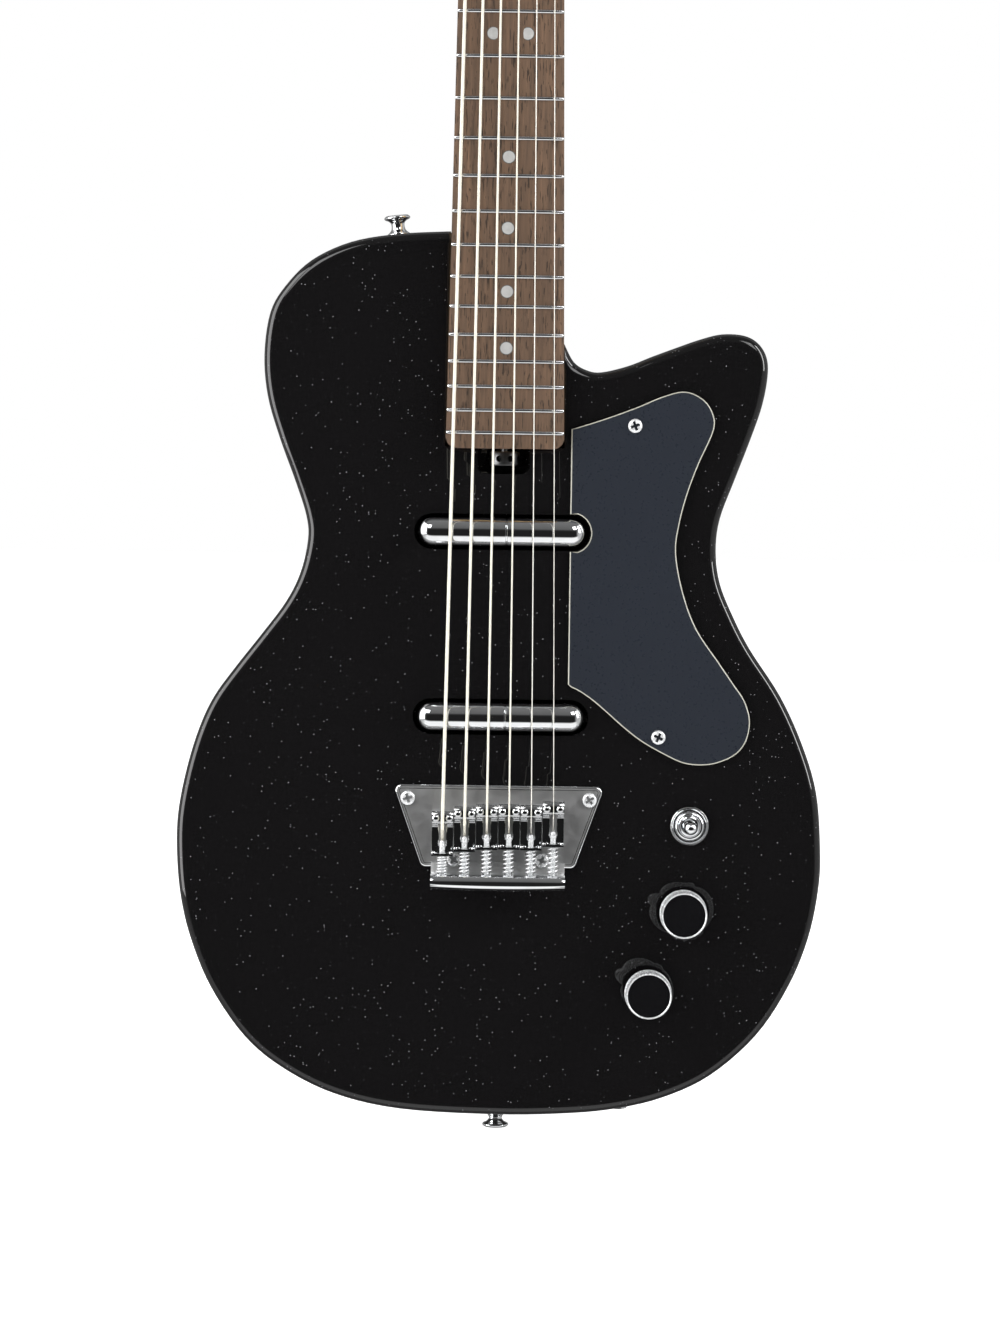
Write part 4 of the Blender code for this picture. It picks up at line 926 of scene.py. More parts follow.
class GUITAR_OT_neck(bpy.types.Operator):
    """Model the neck, headstock, nut and neck plate"""
    bl_idname = "guitar.neck"
    bl_label = "Neck"

    def execute(self, context):
        front = up(BOARD_TOP - BOARD_THICKNESS - 0.3)
        heel = POCKET_DEPTH - 0.3 + (FRONT - front)
        top = BODY_LOW + BODY_POINTS[0][1]
        sections = [(BOARD_END_Z + 1.2, heel, 9.0), (top + 2, heel, 9.0), (top + 6, heel - 0.3, 7.0),
                    (top + 10, heel - 1.0, 4.5), (top + 16, 18.4, 3.5), (top + 22, 18.2, 2.9),
                    (top + 40, 17.6, 2.4), (top + 130, 17.2, 2.3), (top + 220, 16.8, 2.3),
                    (NUT_Z - 60, 15.8, 2.3), (NUT_Z - 12, 15.0, 2.3),
                    (NUT_Z + NUT_THICKNESS + 0.4, 16.0, 2.6)]
        sections[1:1] = [(BOARD_END_Z + step, heel, 9.0) for step in (3.0, 5.0, 8.0)]
        rings = [neck_ring(z, front, neck_half_width(z) - 0.1 - max(0, BOARD_END_Z + 6.5 - z),
                           depth, power) for z, depth, power in sections]
        rings.append(neck_ring(NUT_Z + NUT_THICKNESS + 14.0, front + 5.0, 20.0, 9.0, 3.0))
        neck = loft("neck_shaft", rings)
        complete(neck, [look("maple")], "guitar", ("neck",), 40.0)

        right = spline(HEADSTOCK_POINTS, 5)
        outline = right + [(-x, s) for x, s in reversed(right[:-1])]
        edge = [(-HEADSTOCK_THICKNESS, 1.5), (-HEADSTOCK_THICKNESS + 0.45, 0.45),
                (-HEADSTOCK_THICKNESS + 1.5, 0.0), (-1.5, 0.0), (-0.45, 0.45), (0.0, 1.5)]
        rings = [[headstock_point(x, s, height) for x, s in inset(outline, step_in)]
                 for height, step_in in [(-HEADSTOCK_THICKNESS, 2.5), *edge, (0.0, 2.5)]]
        head = loft("headstock", rings)
        for side, order in TUNER_ORDER:
            distance = TUNER_DISTANCES[order]
            combine(head, rod("post_hole", headstock_point(side * TUNER_X, distance, 3),
                              headstock_point(side * TUNER_X, distance, -HEADSTOCK_THICKNESS - 3), 4.2))
        complete(head, [look("maple")], "guitar")

        low, high = corners("nut")
        nut = block("nut_bar", low, high)
        for index, radius in enumerate(STRING_RADII):
            x = string_x_at_nut(index)
            floor = up(STRING_HEIGHT_AT_NUT - radius - 0.1)
            combine(nut, block("slot", (x - radius - 0.1, low.y - 2, low.z - 1),
                               (x + radius + 0.1, floor, high.z + 1)))
        soften(nut, 0.25, 2, 60)
        complete(nut, [look("nut")], "guitar", ("nut",))

        spot = middle("neck_plate")
        width, length = 25.5, 32.0
        outline = rounded_rectangle(spot.x - width, spot.x + width, spot.z - length, spot.z + length, 5)
        foot = BACK + 0.3
        steps = [(0.0, 0.0), (1.2, 0.0), (1.6, 0.2), (1.8, 0.7), (1.8, 1.5)]
        plate = loft("neck_plate_sheet", [[(x, foot + rise, z) for x, z in inset(outline, step_in)]
                                          for rise, step_in in steps])
        complete(plate, [look("chrome")], "guitar", ("neck_plate",))
        number = 0
        for x in (-19.0, 19.0):
            for z in (-25.5, 25.5):
                number += 1
                place = frame_at((x, foot + 1.8, spot.z + z), (0, 1, 0), (1, 0, 0))
                screw = cross_head_screw(f"neck_screw_{number}", 4.2, 1.9, place, 24.0 * number)
                complete(screw, [look("chrome")], "guitar")
        return {"FINISHED"}


# ------------------------------------------------------------------ fingerboard

def board_ring(z, half):
    """A fingerboard section: flat below, crowned above, its upper corners eased."""
    below = up(BOARD_TOP - BOARD_THICKNESS)
    ring = [(half, below, z), (-half, below, z)]
    for share in np.linspace(-1.0, 1.0, 21):
        x = half * share
        eased = 0.35 if abs(share) == 1.0 else 0.0
        ring.append((x, up(BOARD_TOP - x * x / (2 * BOARD_RADIUS) - eased), z))
    return ring


def fret_wire(number):
    """A crowned wire laid over the board's radius, its ends rounded off."""
    z = fret_z(number)
    half = neck_half_width(z) + 0.05
    rings = []
    for from_end, size in ((0.0, 0.35), (0.25, 0.7), (0.7, 0.92), (1.3, 1.0)):
        rings.append((-half + from_end, size))
    rings += [(half * share, 1.0) for share in (-0.7, -0.35, 0.0, 0.35, 0.7)]
    rings += [(-x, size) for x, size in reversed(rings[:4])]
    skin = []
    for x, size in rings:
        surface = BOARD_TOP - x * x / (2 * BOARD_RADIUS)
        ring = [(x, up(surface - 0.6), z - 1.05 * size), (x, up(surface - 0.6), z + 1.05 * size)]
        for degrees in range(0, 181, 20):
            a = math.radians(degrees)
            ring.append((x, up(surface + FRET_HEIGHT * size * math.sin(a)),
                         z + 1.05 * size * math.cos(a)))
        skin.append(ring)
    return loft(f"fret_{number:02d}", skin)


class GUITAR_OT_fingerboard(bpy.types.Operator):
    """Model the fingerboard, its frets and its position dots"""
    bl_idname = "guitar.fingerboard"
    bl_label = "Fingerboard"

    def execute(self, context):
        rings = []
        for step in (0.0, 0.3, 0.8, 1.5, 2.4, 3.6, 4.8, BOARD_CORNER):
            half = neck_half_width(BOARD_END_Z) - BOARD_CORNER
            half += math.sqrt(BOARD_CORNER ** 2 - (BOARD_CORNER - step) ** 2) + 0.2
            rings.append(board_ring(BOARD_END_Z + step, half))
        for z in np.linspace(BOARD_END_Z + BOARD_CORNER + 2.0, NUT_Z - 0.3, 12):
            rings.append(board_ring(z, neck_half_width(z)))
        board = loft("fingerboard", rings)
        complete(board, [look("board")], "guitar", ("fretboard",))
        for number in range(1, FRET_COUNT + 1):
            complete(fret_wire(number), [look("fret")], "guitar", (), 50.0)
        for number in (3, 5, 7, 9, 12, 15, 17, 19, 21):
            z = (fret_z(number) + fret_z(number - 1)) / 2
            spots = (-8.6, 8.6) if number == 12 else (0.0,)
            for x in spots:
                surface = BOARD_TOP - x * x / (2 * BOARD_RADIUS)
                dot = turned(f"dot_{number:02d}" + ("" if x == 0 else "_bass" if x < 0 else "_treble"),
                             [(0, -1.0), (3.35, -1.0), (3.35, 0.02), (3.0, 0.04), (1.5, 0.05), (0, 0.06)],
                             facing_front(x, z, surface), 40)
                complete(dot, [look("pearl"), look("pearl_rim")], "guitar")
                paint(dot, 1, lambda centre, normal, x=x, z=z:
                      math.hypot(centre.x - x, centre.z - z) > 3.1)
        return {"FINISHED"}


class GUITAR_OT_truss(bpy.types.Operator):
    """Model the truss rod and its spoke wheel"""
    bl_idname = "guitar.truss"
    bl_label = "Truss rod"

    def execute(self, context):
        low, high = corners("truss_rod_wheel")
        spot = (low + high) / 2
        radius, thick = 7.7, high.z - low.z
        place = Matrix.Translation(Vector((spot.x, spot.y, low.z)) * MM)
        wheel = turned("spoke_wheel", [(0, 0), (radius - 0.9, 0), (radius - 0.25, 0.25), (radius, 0.9),
                                       (radius, thick - 0.9), (radius - 0.25, thick - 0.25),
                                       (radius - 0.9, thick), (0, thick)], place, 60)
        for index in range(8):
            angle = math.radians(-112 + 45 * index)
            out = Vector((math.cos(angle), math.sin(angle), 0))
            combine(wheel, rod("spoke_hole", spot + out * 3.4, spot + out * 12, 1.6))
        combine(wheel, rod("rod_bore", (spot.x, spot.y, low.z + 2.4), (spot.x, spot.y, high.z + 2), 2.3))
        soften(wheel, 0.3, 2, 55)
        complete(wheel, [look("wheel")], "truss_wheel", ("truss_rod_wheel",))
        low, high = corners("truss_rod")
        place = Matrix.Translation(Vector(((low.x + high.x) / 2, (low.y + high.y) / 2, 0)) * MM)
        shoulder = BOARD_END_Z + 1.8
        rod_piece = turned("truss_rod_bar", [(0, low.z), (1.6, low.z), (1.9, low.z + 0.4), (1.9, shoulder),
                                             (2.8, shoulder), (2.8, high.z), (0, high.z)], place, 24)
        complete(rod_piece, [look("steel")], "guitar", ("truss_rod",))
        return {"FINISHED"}


# ------------------------------------------------------------------ tuners

GEAR_TEETH = 14
GEAR_DROP = HEADSTOCK_THICKNESS + 0.3 + 1.2 + 1.4
GEAR_SHEET = 2.4
WORM_OFFSET = 8.25
WORM_DROP = GEAR_DROP + GEAR_SHEET / 2
BUTTON_X = 46.5


def tuner_post(name):
    """The string post and its worm wheel, standing on local Z."""
    shaft = turned(name, [(0, -GEAR_DROP - 3.2), (1.8, -GEAR_DROP - 3.2), (2.0, -GEAR_DROP - 3.0),
                          (2.0, -GEAR_DROP - 0.4), (3.2, -GEAR_DROP + 0.5), (3.2, 9.0), (2.8, 9.8),
                          (2.4, 10.5), (2.4, 14.0), (2.7, 15.0), (3.1, 15.7), (3.1, 16.9), (2.6, 17.5),
                          (0, 17.5)], steps=32)
    wheel = []
    for tooth in range(GEAR_TEETH):
        for share, radius in ((0.0, 4.4), (0.25, 4.6), (0.42, 5.4), (0.58, 5.4), (0.75, 4.6)):
            angle = math.tau * (tooth + share) / GEAR_TEETH
            wheel.append((radius * math.cos(angle), radius * math.sin(angle)))
    gear = loft("gear", [[(x, y, -GEAR_DROP - drop) for x, y in wheel] for drop in (GEAR_SHEET, 0.0)])
    combine(shaft, gear, operation="UNION")
    combine(shaft, rod("string_hole", (-5, 0, 12.2), (5, 0, 12.2), 0.8, 12))
    return soften(shaft, 0.12, 1, 50)


def tuner_button(name):
    """The worm shaft on local Z with its oval button, which takes the second material."""
    worm = [(2.4 if k % 2 else 1.8, 23.6 + k * 0.55) for k in range(16)]
    shaft = turned(name, [(0, 17.6), (1.5, 17.6), (1.5, 23.2), *worm, (1.5, 32.6), (1.5, BUTTON_X - 4.0),
                          (2.7, BUTTON_X - 3.4), (3.0, BUTTON_X - 3.0), (3.0, BUTTON_X), (0, BUTTON_X)],
                   steps=24)
    stations = spline(((-1.5, 3.0, 2.4), (-0.6, 5.2, 3.2), (1.5, 7.2, 3.6), (6.5, 8.6, 3.9),
                       (11.0, 7.2, 3.4), (13.0, 4.6, 2.6), (13.5, 2.6, 1.8)), 2)
    paddle = loft("paddle", [[(thick * math.cos(math.tau * k / 28), wide * math.sin(math.tau * k / 28),
                               BUTTON_X + along) for k in range(28)]
                             for along, wide, thick in stations])
    shaft.data.materials.append(look("chrome"))
    paddle.data.materials.append(look("ivory"))
    return joined(name, paddle, shaft)


class GUITAR_OT_tuners(bpy.types.Operator):
    """Model the tuner plates, posts, collars and buttons"""
    bl_idname = "guitar.tuners"
    bl_label = "Tuners"

    def execute(self, context):
        post, button = tuner_post("post"), tuner_button("button")
        collar = turned("collar", [(4.2, 0.0), (6.4, 0.0), (6.4, 0.5), (5.4, 1.6), (3.6, 2.0), (3.4, 0.0)],
                        steps=36)
        for index, (side, order) in enumerate(TUNER_ORDER):
            number, distance = index + 1, TUNER_DISTANCES[order]
            place = headstock_frame(side * TUNER_X, distance, 0)
            complete(copied(post, f"tuner_shaft_{number}", place), [look("chrome")], f"post_{number}",
                     (f"tuner_post_{number}",))
            complete(copied(collar, f"tuner_collar_{number}", place), [look("chrome")], "guitar")
            place = headstock_frame(0, distance + WORM_OFFSET, -WORM_DROP, side)
            complete(copied(button, f"tuner_key_{number}", place), [], f"button_{number}",
                     (f"tuner_button_{number}",), 40.0)
        for master in (post, button, collar):
            bpy.data.objects.remove(master)
        for name in ("tuner_plate_bass", "tuner_plate_treble"):
            plate = bpy.data.objects.new(name + "_cover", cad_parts[name].data.copy())
            bpy.context.scene.collection.objects.link(plate)
            tidy_mesh(plate, 0.00001)
            bpy.ops.object.mode_set(mode="EDIT")
            bpy.ops.mesh.dissolve_limited(angle_limit=math.radians(2.0))
            bpy.ops.object.mode_set(mode="OBJECT")
            plate.data.materials.clear()
            soften(plate, 0.25, 2, 50)
            complete(plate, [look("chrome")], "guitar", (name,))
        return {"FINISHED"}


# ------------------------------------------------------------------ bridge

BRIDGE_X = -0.6
STRING_PITCH_AT_SADDLE = 11.1
SADDLE_CENTRE_X = -0.8
SADDLE_SHEET = 1.2
SADDLE_CREST = 11.8
SADDLE_BASE = 6.6
SADDLE_TAB = -18.4


def string_x_at_saddle(index):
    return SADDLE_CENTRE_X + (index - 2.5) * STRING_PITCH_AT_SADDLE


def contact_z(index):
    """Where the string rests on its saddle."""
    return SADDLE_Z + SADDLE_OFFSETS[index]


def plate_outline():
    corners_of_plate = ((48.8, 8.6, -20, 90), (-48.8, 8.6, 90, 200),
                        (-36.3, -26.4, 200, 270), (36.3, -26.4, 270, 340))
    outline = []
    for x, z, start, end in corners_of_plate:
        outline += arc((BRIDGE_X + x, SADDLE_Z + z), 3.2, start, end, 8)
    return outline


class GUITAR_OT_bridge(bpy.types.Operator):
    """Model the bridge plate, its upright tail and its four screws"""
    bl_idname = "guitar.bridge"
    bl_label = "Bridge"

    def execute(self, context):
        steps = [(0.3, 0.0), (0.9, 0.0), (1.3, 0.15), (1.65, 0.5), (1.85, 1.1), (1.8, 1.9),
                 (1.72, 2.2), (1.72, 3.2)]
        plate = loft("bridge_plate_sheet", levels(plate_outline(), steps))
        upright = TAIL_Z - 0.85
        bend = [(9.4 + 4.25 * math.sin(math.radians(a)), upright - 3.4 * (1 - math.cos(math.radians(a))))
                for a in range(0, 91, 10)]
        line = [(1.15, TAIL_Z + 5.0), (1.15, upright), (6.0, upright), *bend, (13.65, upright - 4.2),
                (13.5, upright - 4.9), (13.1, upright - 5.3), (12.85, upright - 5.7),
                (12.8, upright - 6.2), (12.8, upright - 7.1)]
        profile = bent_sheet(line, 1.7)
        rings = []
        for share in np.linspace(-1, 1, 25):
            fall = 0.8 * (share * share)
            half = 33.6
            rings.append([(BRIDGE_X + half * share, up(height),
                           z + (fall if z < upright - 4.5 else 0.0)) for height, z in profile])
        tail = loft("bridge_tail", rings)
        combine(plate, tail, operation="UNION")
        for index in range(6):
            x = string_x_at_saddle(index)
            combine(plate, rod("screw_hole", (x, up(SCREW_AXIS_HEIGHT), TAIL_Z - 4),
                               (x, up(SCREW_AXIS_HEIGHT), TAIL_Z + 2), 2.1),
                    rod("string_hole", (x, up(TAIL_HOLE_HEIGHT), TAIL_Z - 4),
                        (x, up(TAIL_HOLE_HEIGHT), TAIL_Z + 2), 1.5))
        soften(plate, 0.2, 2, 50)
        complete(plate, [look("plate"), look("chrome")], "guitar", ("bridge_plate",),
                 40.0)
        face_level = up(1.6)
        paint(plate, 1, lambda centre, normal: centre.y > face_level or centre.y < up(2.1)
              or centre.z < TAIL_Z + 1.0 or normal.y > -0.97)
        places = ((BRIDGE_X - 45.7, 4.9), (BRIDGE_X + 45.7, 4.9), (BRIDGE_X - 22.0, -25.7),
                  (BRIDGE_X + 22.0, -25.7))
        for number, (x, z) in enumerate(places, 1):
            screw = cross_head_screw(f"bridge_screw_head_{number}", 3.6, 1.7,
                                     facing_front(x, SADDLE_Z + z, 1.9), 17.0 * number)
            node = f"bridge_screw_{number}"
            complete(screw, [look("screw")], "guitar",
                     (node,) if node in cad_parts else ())
        return {"FINISHED"}


def saddle(index):
    """A bent plate with a humped front, a slot, a tab behind and two height screws."""
    x, z = string_x_at_saddle(index), contact_z(index)
    half, lower = 5.35, STRING_RADII[index]
    crest, base, tab = SADDLE_CREST, SADDLE_BASE, SADDLE_TAB
    line = spline([(crest - 3.6, 3.4), (crest - 1.2, 2.9), (crest - 0.1, 1.4), (crest - 0.1, -1.2),
                   (crest - 0.7, -2.4), (crest - 2.6, -3.2), (base + 0.5, -4.0), (base, -5.4)], 4)
    line += [(base, tab), (crest + 0.6, tab)]
    rings = [[(x + side, up(height - lower), z + along) for height, along in bent_sheet(line, SADDLE_SHEET)]
             for side in (-half, half)]
    plate = loft(f"saddle_plate_{index + 1}", rings)
    slot = rounded_rectangle(x - 1.85, x + 1.85, z - 14.4, z - 2.2, 1.8)
    groove = rod("string_groove", (x, up(crest + 0.95 + lower), z - 8), (x, up(crest + 0.95 + lower), z + 8),
                 lower + 0.35, 20)
    combine(plate, loft("slot", [[(a, up(height), b) for a, b in slot] for height in (14.5, 2.0)]), groove,
            rod("tab_hole", (x, up(SCREW_AXIS_HEIGHT), z + tab - 2), (x, up(SCREW_AXIS_HEIGHT), z + tab + 2),
                1.8))
    soften(plate, 0.16, 2, 50)
    parts = [plate]
    top = crest + 0.5 - lower
    for side in (-1, 1):
        place = facing_front(x + side * 3.35, z - 0.1, top)
        screw = turned("height_screw", [(0, 2.2 - top), (1.5, 2.2 - top), (1.5, -1.2), (1.95, -1.2),
                                        (1.95, -0.2), (1.7, 0.45), (1.2, 0.85), (0.75, 1.0), (0.7, 0.1),
                                        (0, 0.1)], place, 24)
        parts.append(screw)
        for corner in (2.3, tab + 0.9):
            parts.append(turned("corner_bead", [(0, -0.9), (0.55, -0.8), (0.9, -0.2), (0.8, 0.4),
                                                (0.4, 0.75), (0, 0.8)],
                                facing_front(x + side * 4.45, z + corner,
                                             (crest - 0.6 if corner > 0 else crest + 0.3) - lower), 16))
    return joined(f"saddle_plate_{index + 1}", *reversed(parts))


def intonation_screw(index):
    x, tip = string_x_at_saddle(index), contact_z(index) - 11.5 - TAIL_Z
    thread, height = [], -1.2
    while height < tip - 1.2:
        thread += [(1.45, height), (1.2, height + 0.35)]
        height += 0.7
    head = [(0, -5.0), (1.6, -4.9), (2.3, -4.4), (2.6, -3.6), (2.6, -2.0), (1.45, -2.0)]
    screw = turned(f"saddle_screw_{index + 1}", head + thread + [(1.2, tip - 0.6), (0.8, tip), (0, tip)],
                   steps=24)
    cut_cross(screw, 1.5, 0.3, -6, -4.0)
    return apply_place(screw, Matrix.Translation(Vector((x, up(SCREW_AXIS_HEIGHT), TAIL_Z)) * MM))


def saddle_spring(index, turns):
    """A wire coil round the screw, from the tail to the saddle's tab, its end coils closed."""
    x, z = string_x_at_saddle(index), contact_z(index) + SADDLE_TAB - 0.6
    start, end = TAIL_Z + 0.35, z - 0.35
    path = []
    count = turns * 16
    for step in range(count + 1):
        share = step / count
        eased = share - 0.018 * math.sin(math.tau * share)
        angle = math.tau * turns * share
        path.append((x + 2.25 * math.cos(angle), up(SCREW_AXIS_HEIGHT) + 2.25 * math.sin(angle),
                     start + (end - start) * eased))
    return wire(f"saddle_spring_{index + 1}", path, 0.42, 2)


class GUITAR_OT_saddles(bpy.types.Operator):
    """Model the six saddles with their screws and springs"""
    bl_idname = "guitar.saddles"
    bl_label = "Saddles"

    def execute(self, context):
        turns = context.scene.guitar_sizes.spring_turns
        for index in range(6):
            number = index + 1
            complete(saddle(index), [look("saddle")], f"saddle_{number}",
                     (f"saddle_{number}",))
            complete(intonation_screw(index), [look("screw")], f"screw_{number}",
                     (f"intonation_screw_{number}",))
            x, height = string_x_at_saddle(index), up(SCREW_AXIS_HEIGHT)
            ends = [Vector((x, height, z)) * MM
                    for z in (TAIL_Z, contact_z(index) + SADDLE_TAB - 0.6)]
            complete(saddle_spring(index, turns), [look("screw")],
                     ("guitar", f"saddle_{number}", *ends), (), 60.0)
        return {"FINISHED"}


# ------------------------------------------------------------------ strings

def string_path(index):
    """From the ball end behind the tail, over the saddle and nut, round the post."""
    radius = STRING_RADII[index]
    x0, x1 = string_x_at_saddle(index), string_x_at_nut(index)
    contact, high = contact_z(index), STRING_HEIGHT_AT_SADDLE
    low = up(TAIL_HOLE_HEIGHT)
    path = spline([(x0, low, TAIL_Z - 3.4), (x0, low, contact - 16.0),
                   (x0, low, contact - 12.4), (x0, up(4.8), contact - 11.2),
                   (x0, up(high - 0.9), contact - 5.9), (x0, up(high), contact - 4.7),
                   (x0, up(high), contact)], 4)
    path += [(x1, up(STRING_HEIGHT_AT_NUT), NUT_Z),
             (x1, up(STRING_HEIGHT_AT_NUT), NUT_Z + NUT_THICKNESS)]
    side, order = TUNER_ORDER[index]
    reach, turns, steps = 2.4 + radius + 0.3, 1.25, 30
    for step in range(steps + 1):
        share = step / steps
        angle = (math.pi if side > 0 else 0.0) - side * math.tau * turns * share
        path.append(headstock_point(side * TUNER_X + reach * math.cos(angle),
                                    TUNER_DISTANCES[order] + reach * math.sin(angle),
                                    12.9 - share * turns * 2.2 * radius))
    return path


class GUITAR_OT_strings(bpy.types.Operator):
    """Model the six strings with their ball ends, the four bass ones wound"""
    bl_idname = "guitar.strings"
    bl_label = "Strings"

    def execute(self, context):
        for index, radius in enumerate(STRING_RADII):
            number = index + 1
            path = string_path(index)
            string = wire(f"string_wire_{number}", path, radius, 4)
            x, y, z = path[0]
            ball = turned("ball_end", [(0.8, -1.3), (1.9, -1.3), (2.1, -1.0), (2.1, 1.0), (1.9, 1.3),
                                       (0.8, 1.3)], frame_at((x, y, z - 0.6), (1, 0, 0), (0, 0, 1)), 24)
            ball.data.materials.append(look("chrome"))
            string.data.materials.append(look("wound" if index < 4 else "plain"))
            piece = joined(f"string_wire_{number}", ball, string)
            complete(piece, [], "guitar", (f"string_{number}",), 60.0)
        return {"FINISHED"}


# ------------------------------------------------------------------ pickups and controls

class GUITAR_OT_pickups(bpy.types.Operator):
    """Model the two tube pickups on their feet"""
    bl_idname = "guitar.pickups"
    bl_label = "Pickups"

    def execute(self, context):
        for node in PICKUPS:
            spot = middle(node)
            half, radius = (corners(node)[1].x - corners(node)[0].x) / 2, PICKUP_RADIUS
            end = [(radius * math.sin(math.radians(a)), half - radius * (1 - math.cos(math.radians(a))))
                   for a in (8, 18, 30, 42, 54, 66, 78, 90)]
            right = [(0, half)] + end
            profile = [(r, -h) for r, h in right]
            groove = 2.3
            profile += [(radius, groove - 0.55), (radius - 0.5, groove - 0.3), (radius - 0.5, groove + 0.3),
                        (radius, groove + 0.55)]
            profile += list(reversed(right))
            tube = turned(node + "_tube", profile, frame_at((spot.x, up(0), spot.z), (1, 0, 0), (0, 0, 1)),
                          96)
            for side in (-1, 1):
                combine(tube, block("foot", (spot.x + side * 24 - 3, FRONT + 5.5, spot.z - 3),
                                    (spot.x + side * 24 + 3, FRONT + 15.5, spot.z + 3)),
                        operation="UNION")
            complete(tube, [look("chrome")], "guitar", (node,), 40.0)
        return {"FINISHED"}


def knob(name, node, knurls):
    """A dark skirt, a ribbed metal side, a thin bright ring and a glossy top."""
    spot = middle(node)
    per_rib = 4
    count = knurls * per_rib

    def ring(radius, height, depth=0.0):
        points = []
        for index in range(count):
            a = math.tau * index / count
            rib = depth * (0.5 - 0.5 * math.cos(math.tau * index / per_rib))
            points.append(((radius - rib) * math.cos(a), (radius - rib) * math.sin(a), height))
        return points

    rings = [ring(11.9, 2.8), ring(11.9, 4.6), ring(11.7, 4.9), ring(11.7, 5.1, 0.45),
             ring(11.6, 15.2, 0.45), ring(11.5, 15.5), ring(11.5, 16.4), ring(11.3, 16.9),
             ring(10.9, 17.0), ring(10.6, 16.8), ring(10.5, 16.55), ring(10.1, 16.5), ring(6.0, 16.55)]
    shell = loft(name, rings)
    for face in shell.data.polygons:
        height = face.center.z / MM
        radius = math.hypot(face.center.x, face.center.y) / MM
        metal = 4.7 < height < 17.1 and radius > 10.55
        face.material_index = 1 if metal else 0
    shell.data.materials.append(look("black_plastic"))
    shell.data.materials.append(look("screw"))
    shaft = turned("shaft", [(0, -10.5), (3.1, -10.5), (3.1, 2.9), (0, 2.9)], steps=32)
    shaft.data.materials.append(look("steel"))
    piece = joined(name, shaft, shell)
    return apply_place(piece, facing_front(spot.x, spot.z))


class GUITAR_OT_controls(bpy.types.Operator):
    """Model the knobs, pots, selector switch and its lever"""
    bl_idname = "guitar.controls"
    bl_label = "Controls"

    def execute(self, context):
        knurls = context.scene.guitar_sizes.knurls
        for kind in ("volume", "tone"):
            node = kind + "_knob"
            complete(knob(node + "_cap", node, knurls), [], node, (node,), 35.0)
            spot = middle(node)
            pot = turned(kind + "_pot_case", [(3.5, -11.8), (10.9, -11.8), (11.5, -11.2), (11.5, -4.4),
                                              (10.9, -3.8), (4.0, -3.8), (4.0, 0.3), (3.5, 0.3)], steps=48)
            nut = turned("nut", [(0, 0.3), (6.2, 0.3), (6.2, 1.9), (5.6, 2.2), (0, 2.2)], steps=6)
            combine(nut, rod("bore", (0, 0, -2), (0, 0, 4), 3.5))
            case = joined(kind + "_pot_case", nut, pot)
            apply_place(case, facing_front(spot.x, spot.z))
            complete(case, [look("steel")], "guitar", (kind + "_pot",))

        spot = middle("selector_lever")
        place = facing_front(middle("pickup_selector").x, middle("pickup_selector").z)
        ring = turned("selector_ring", [(2.9, -5), (5.9, -5), (5.9, 0.3), (9.8, 0.3), (9.8, 0.7),
                                        (9.6, 1.1), (9.25, 1.4), (8.9, 1.45), (8.5, 1.25),
                                        (8.2, 0.9), (8.0, 0.6), (6.6, 0.6), (5.0, 0.6),
                                        (5.0, 3.9), (4.6, 4.1), (4.1, 4.0), (3.9, 3.4)], steps=64)
        nut = turned("selector_nut", [(0, 0.55), (7.4, 0.55), (7.5, 1.3), (7.3, 2.1), (6.9, 2.7),
                                      (6.3, 3.05), (5.7, 3.1), (5.2, 2.9), (0, 2.9)], steps=64)
        combine(nut, rod("bore", (0, 0, 0), (0, 0, 5), 5.05, 48))
        switch = joined("selector_ring", nut, ring)
        case = block("selector_case", (-7.5, -15, -23.5), (7.5, 15, -3.5))
        combine(case, turned("hollow", [(0, -13), (3.2, -13), (3.2, -2.5), (4.2, 8), (0, 8)], steps=24))
        soften(case, 0.5, 2, 50)
        switch = joined("selector_ring", case, switch)
        apply_place(switch, place)
        complete(switch, [look("chrome")], "guitar", ("pickup_selector",))
        profile = [(0, -2.4), *spline([(1.7, -1.7), (2.4, 0), (1.8, 1.5), (1.4, 3.0), (1.6, 12.0),
                                       (2.2, 14.0), (3.1, 15.4), (3.4, 17.2), (2.6, 19.4)], 4), (0.9, 20.3),
                   (0, 20.4)]
        lever = turned("selector_toggle", profile, facing_front(spot.x, spot.z, -2.0), 32)
        complete(lever, [look("chrome")], "lever", ("selector_lever",), 50.0)
        return {"FINISHED"}


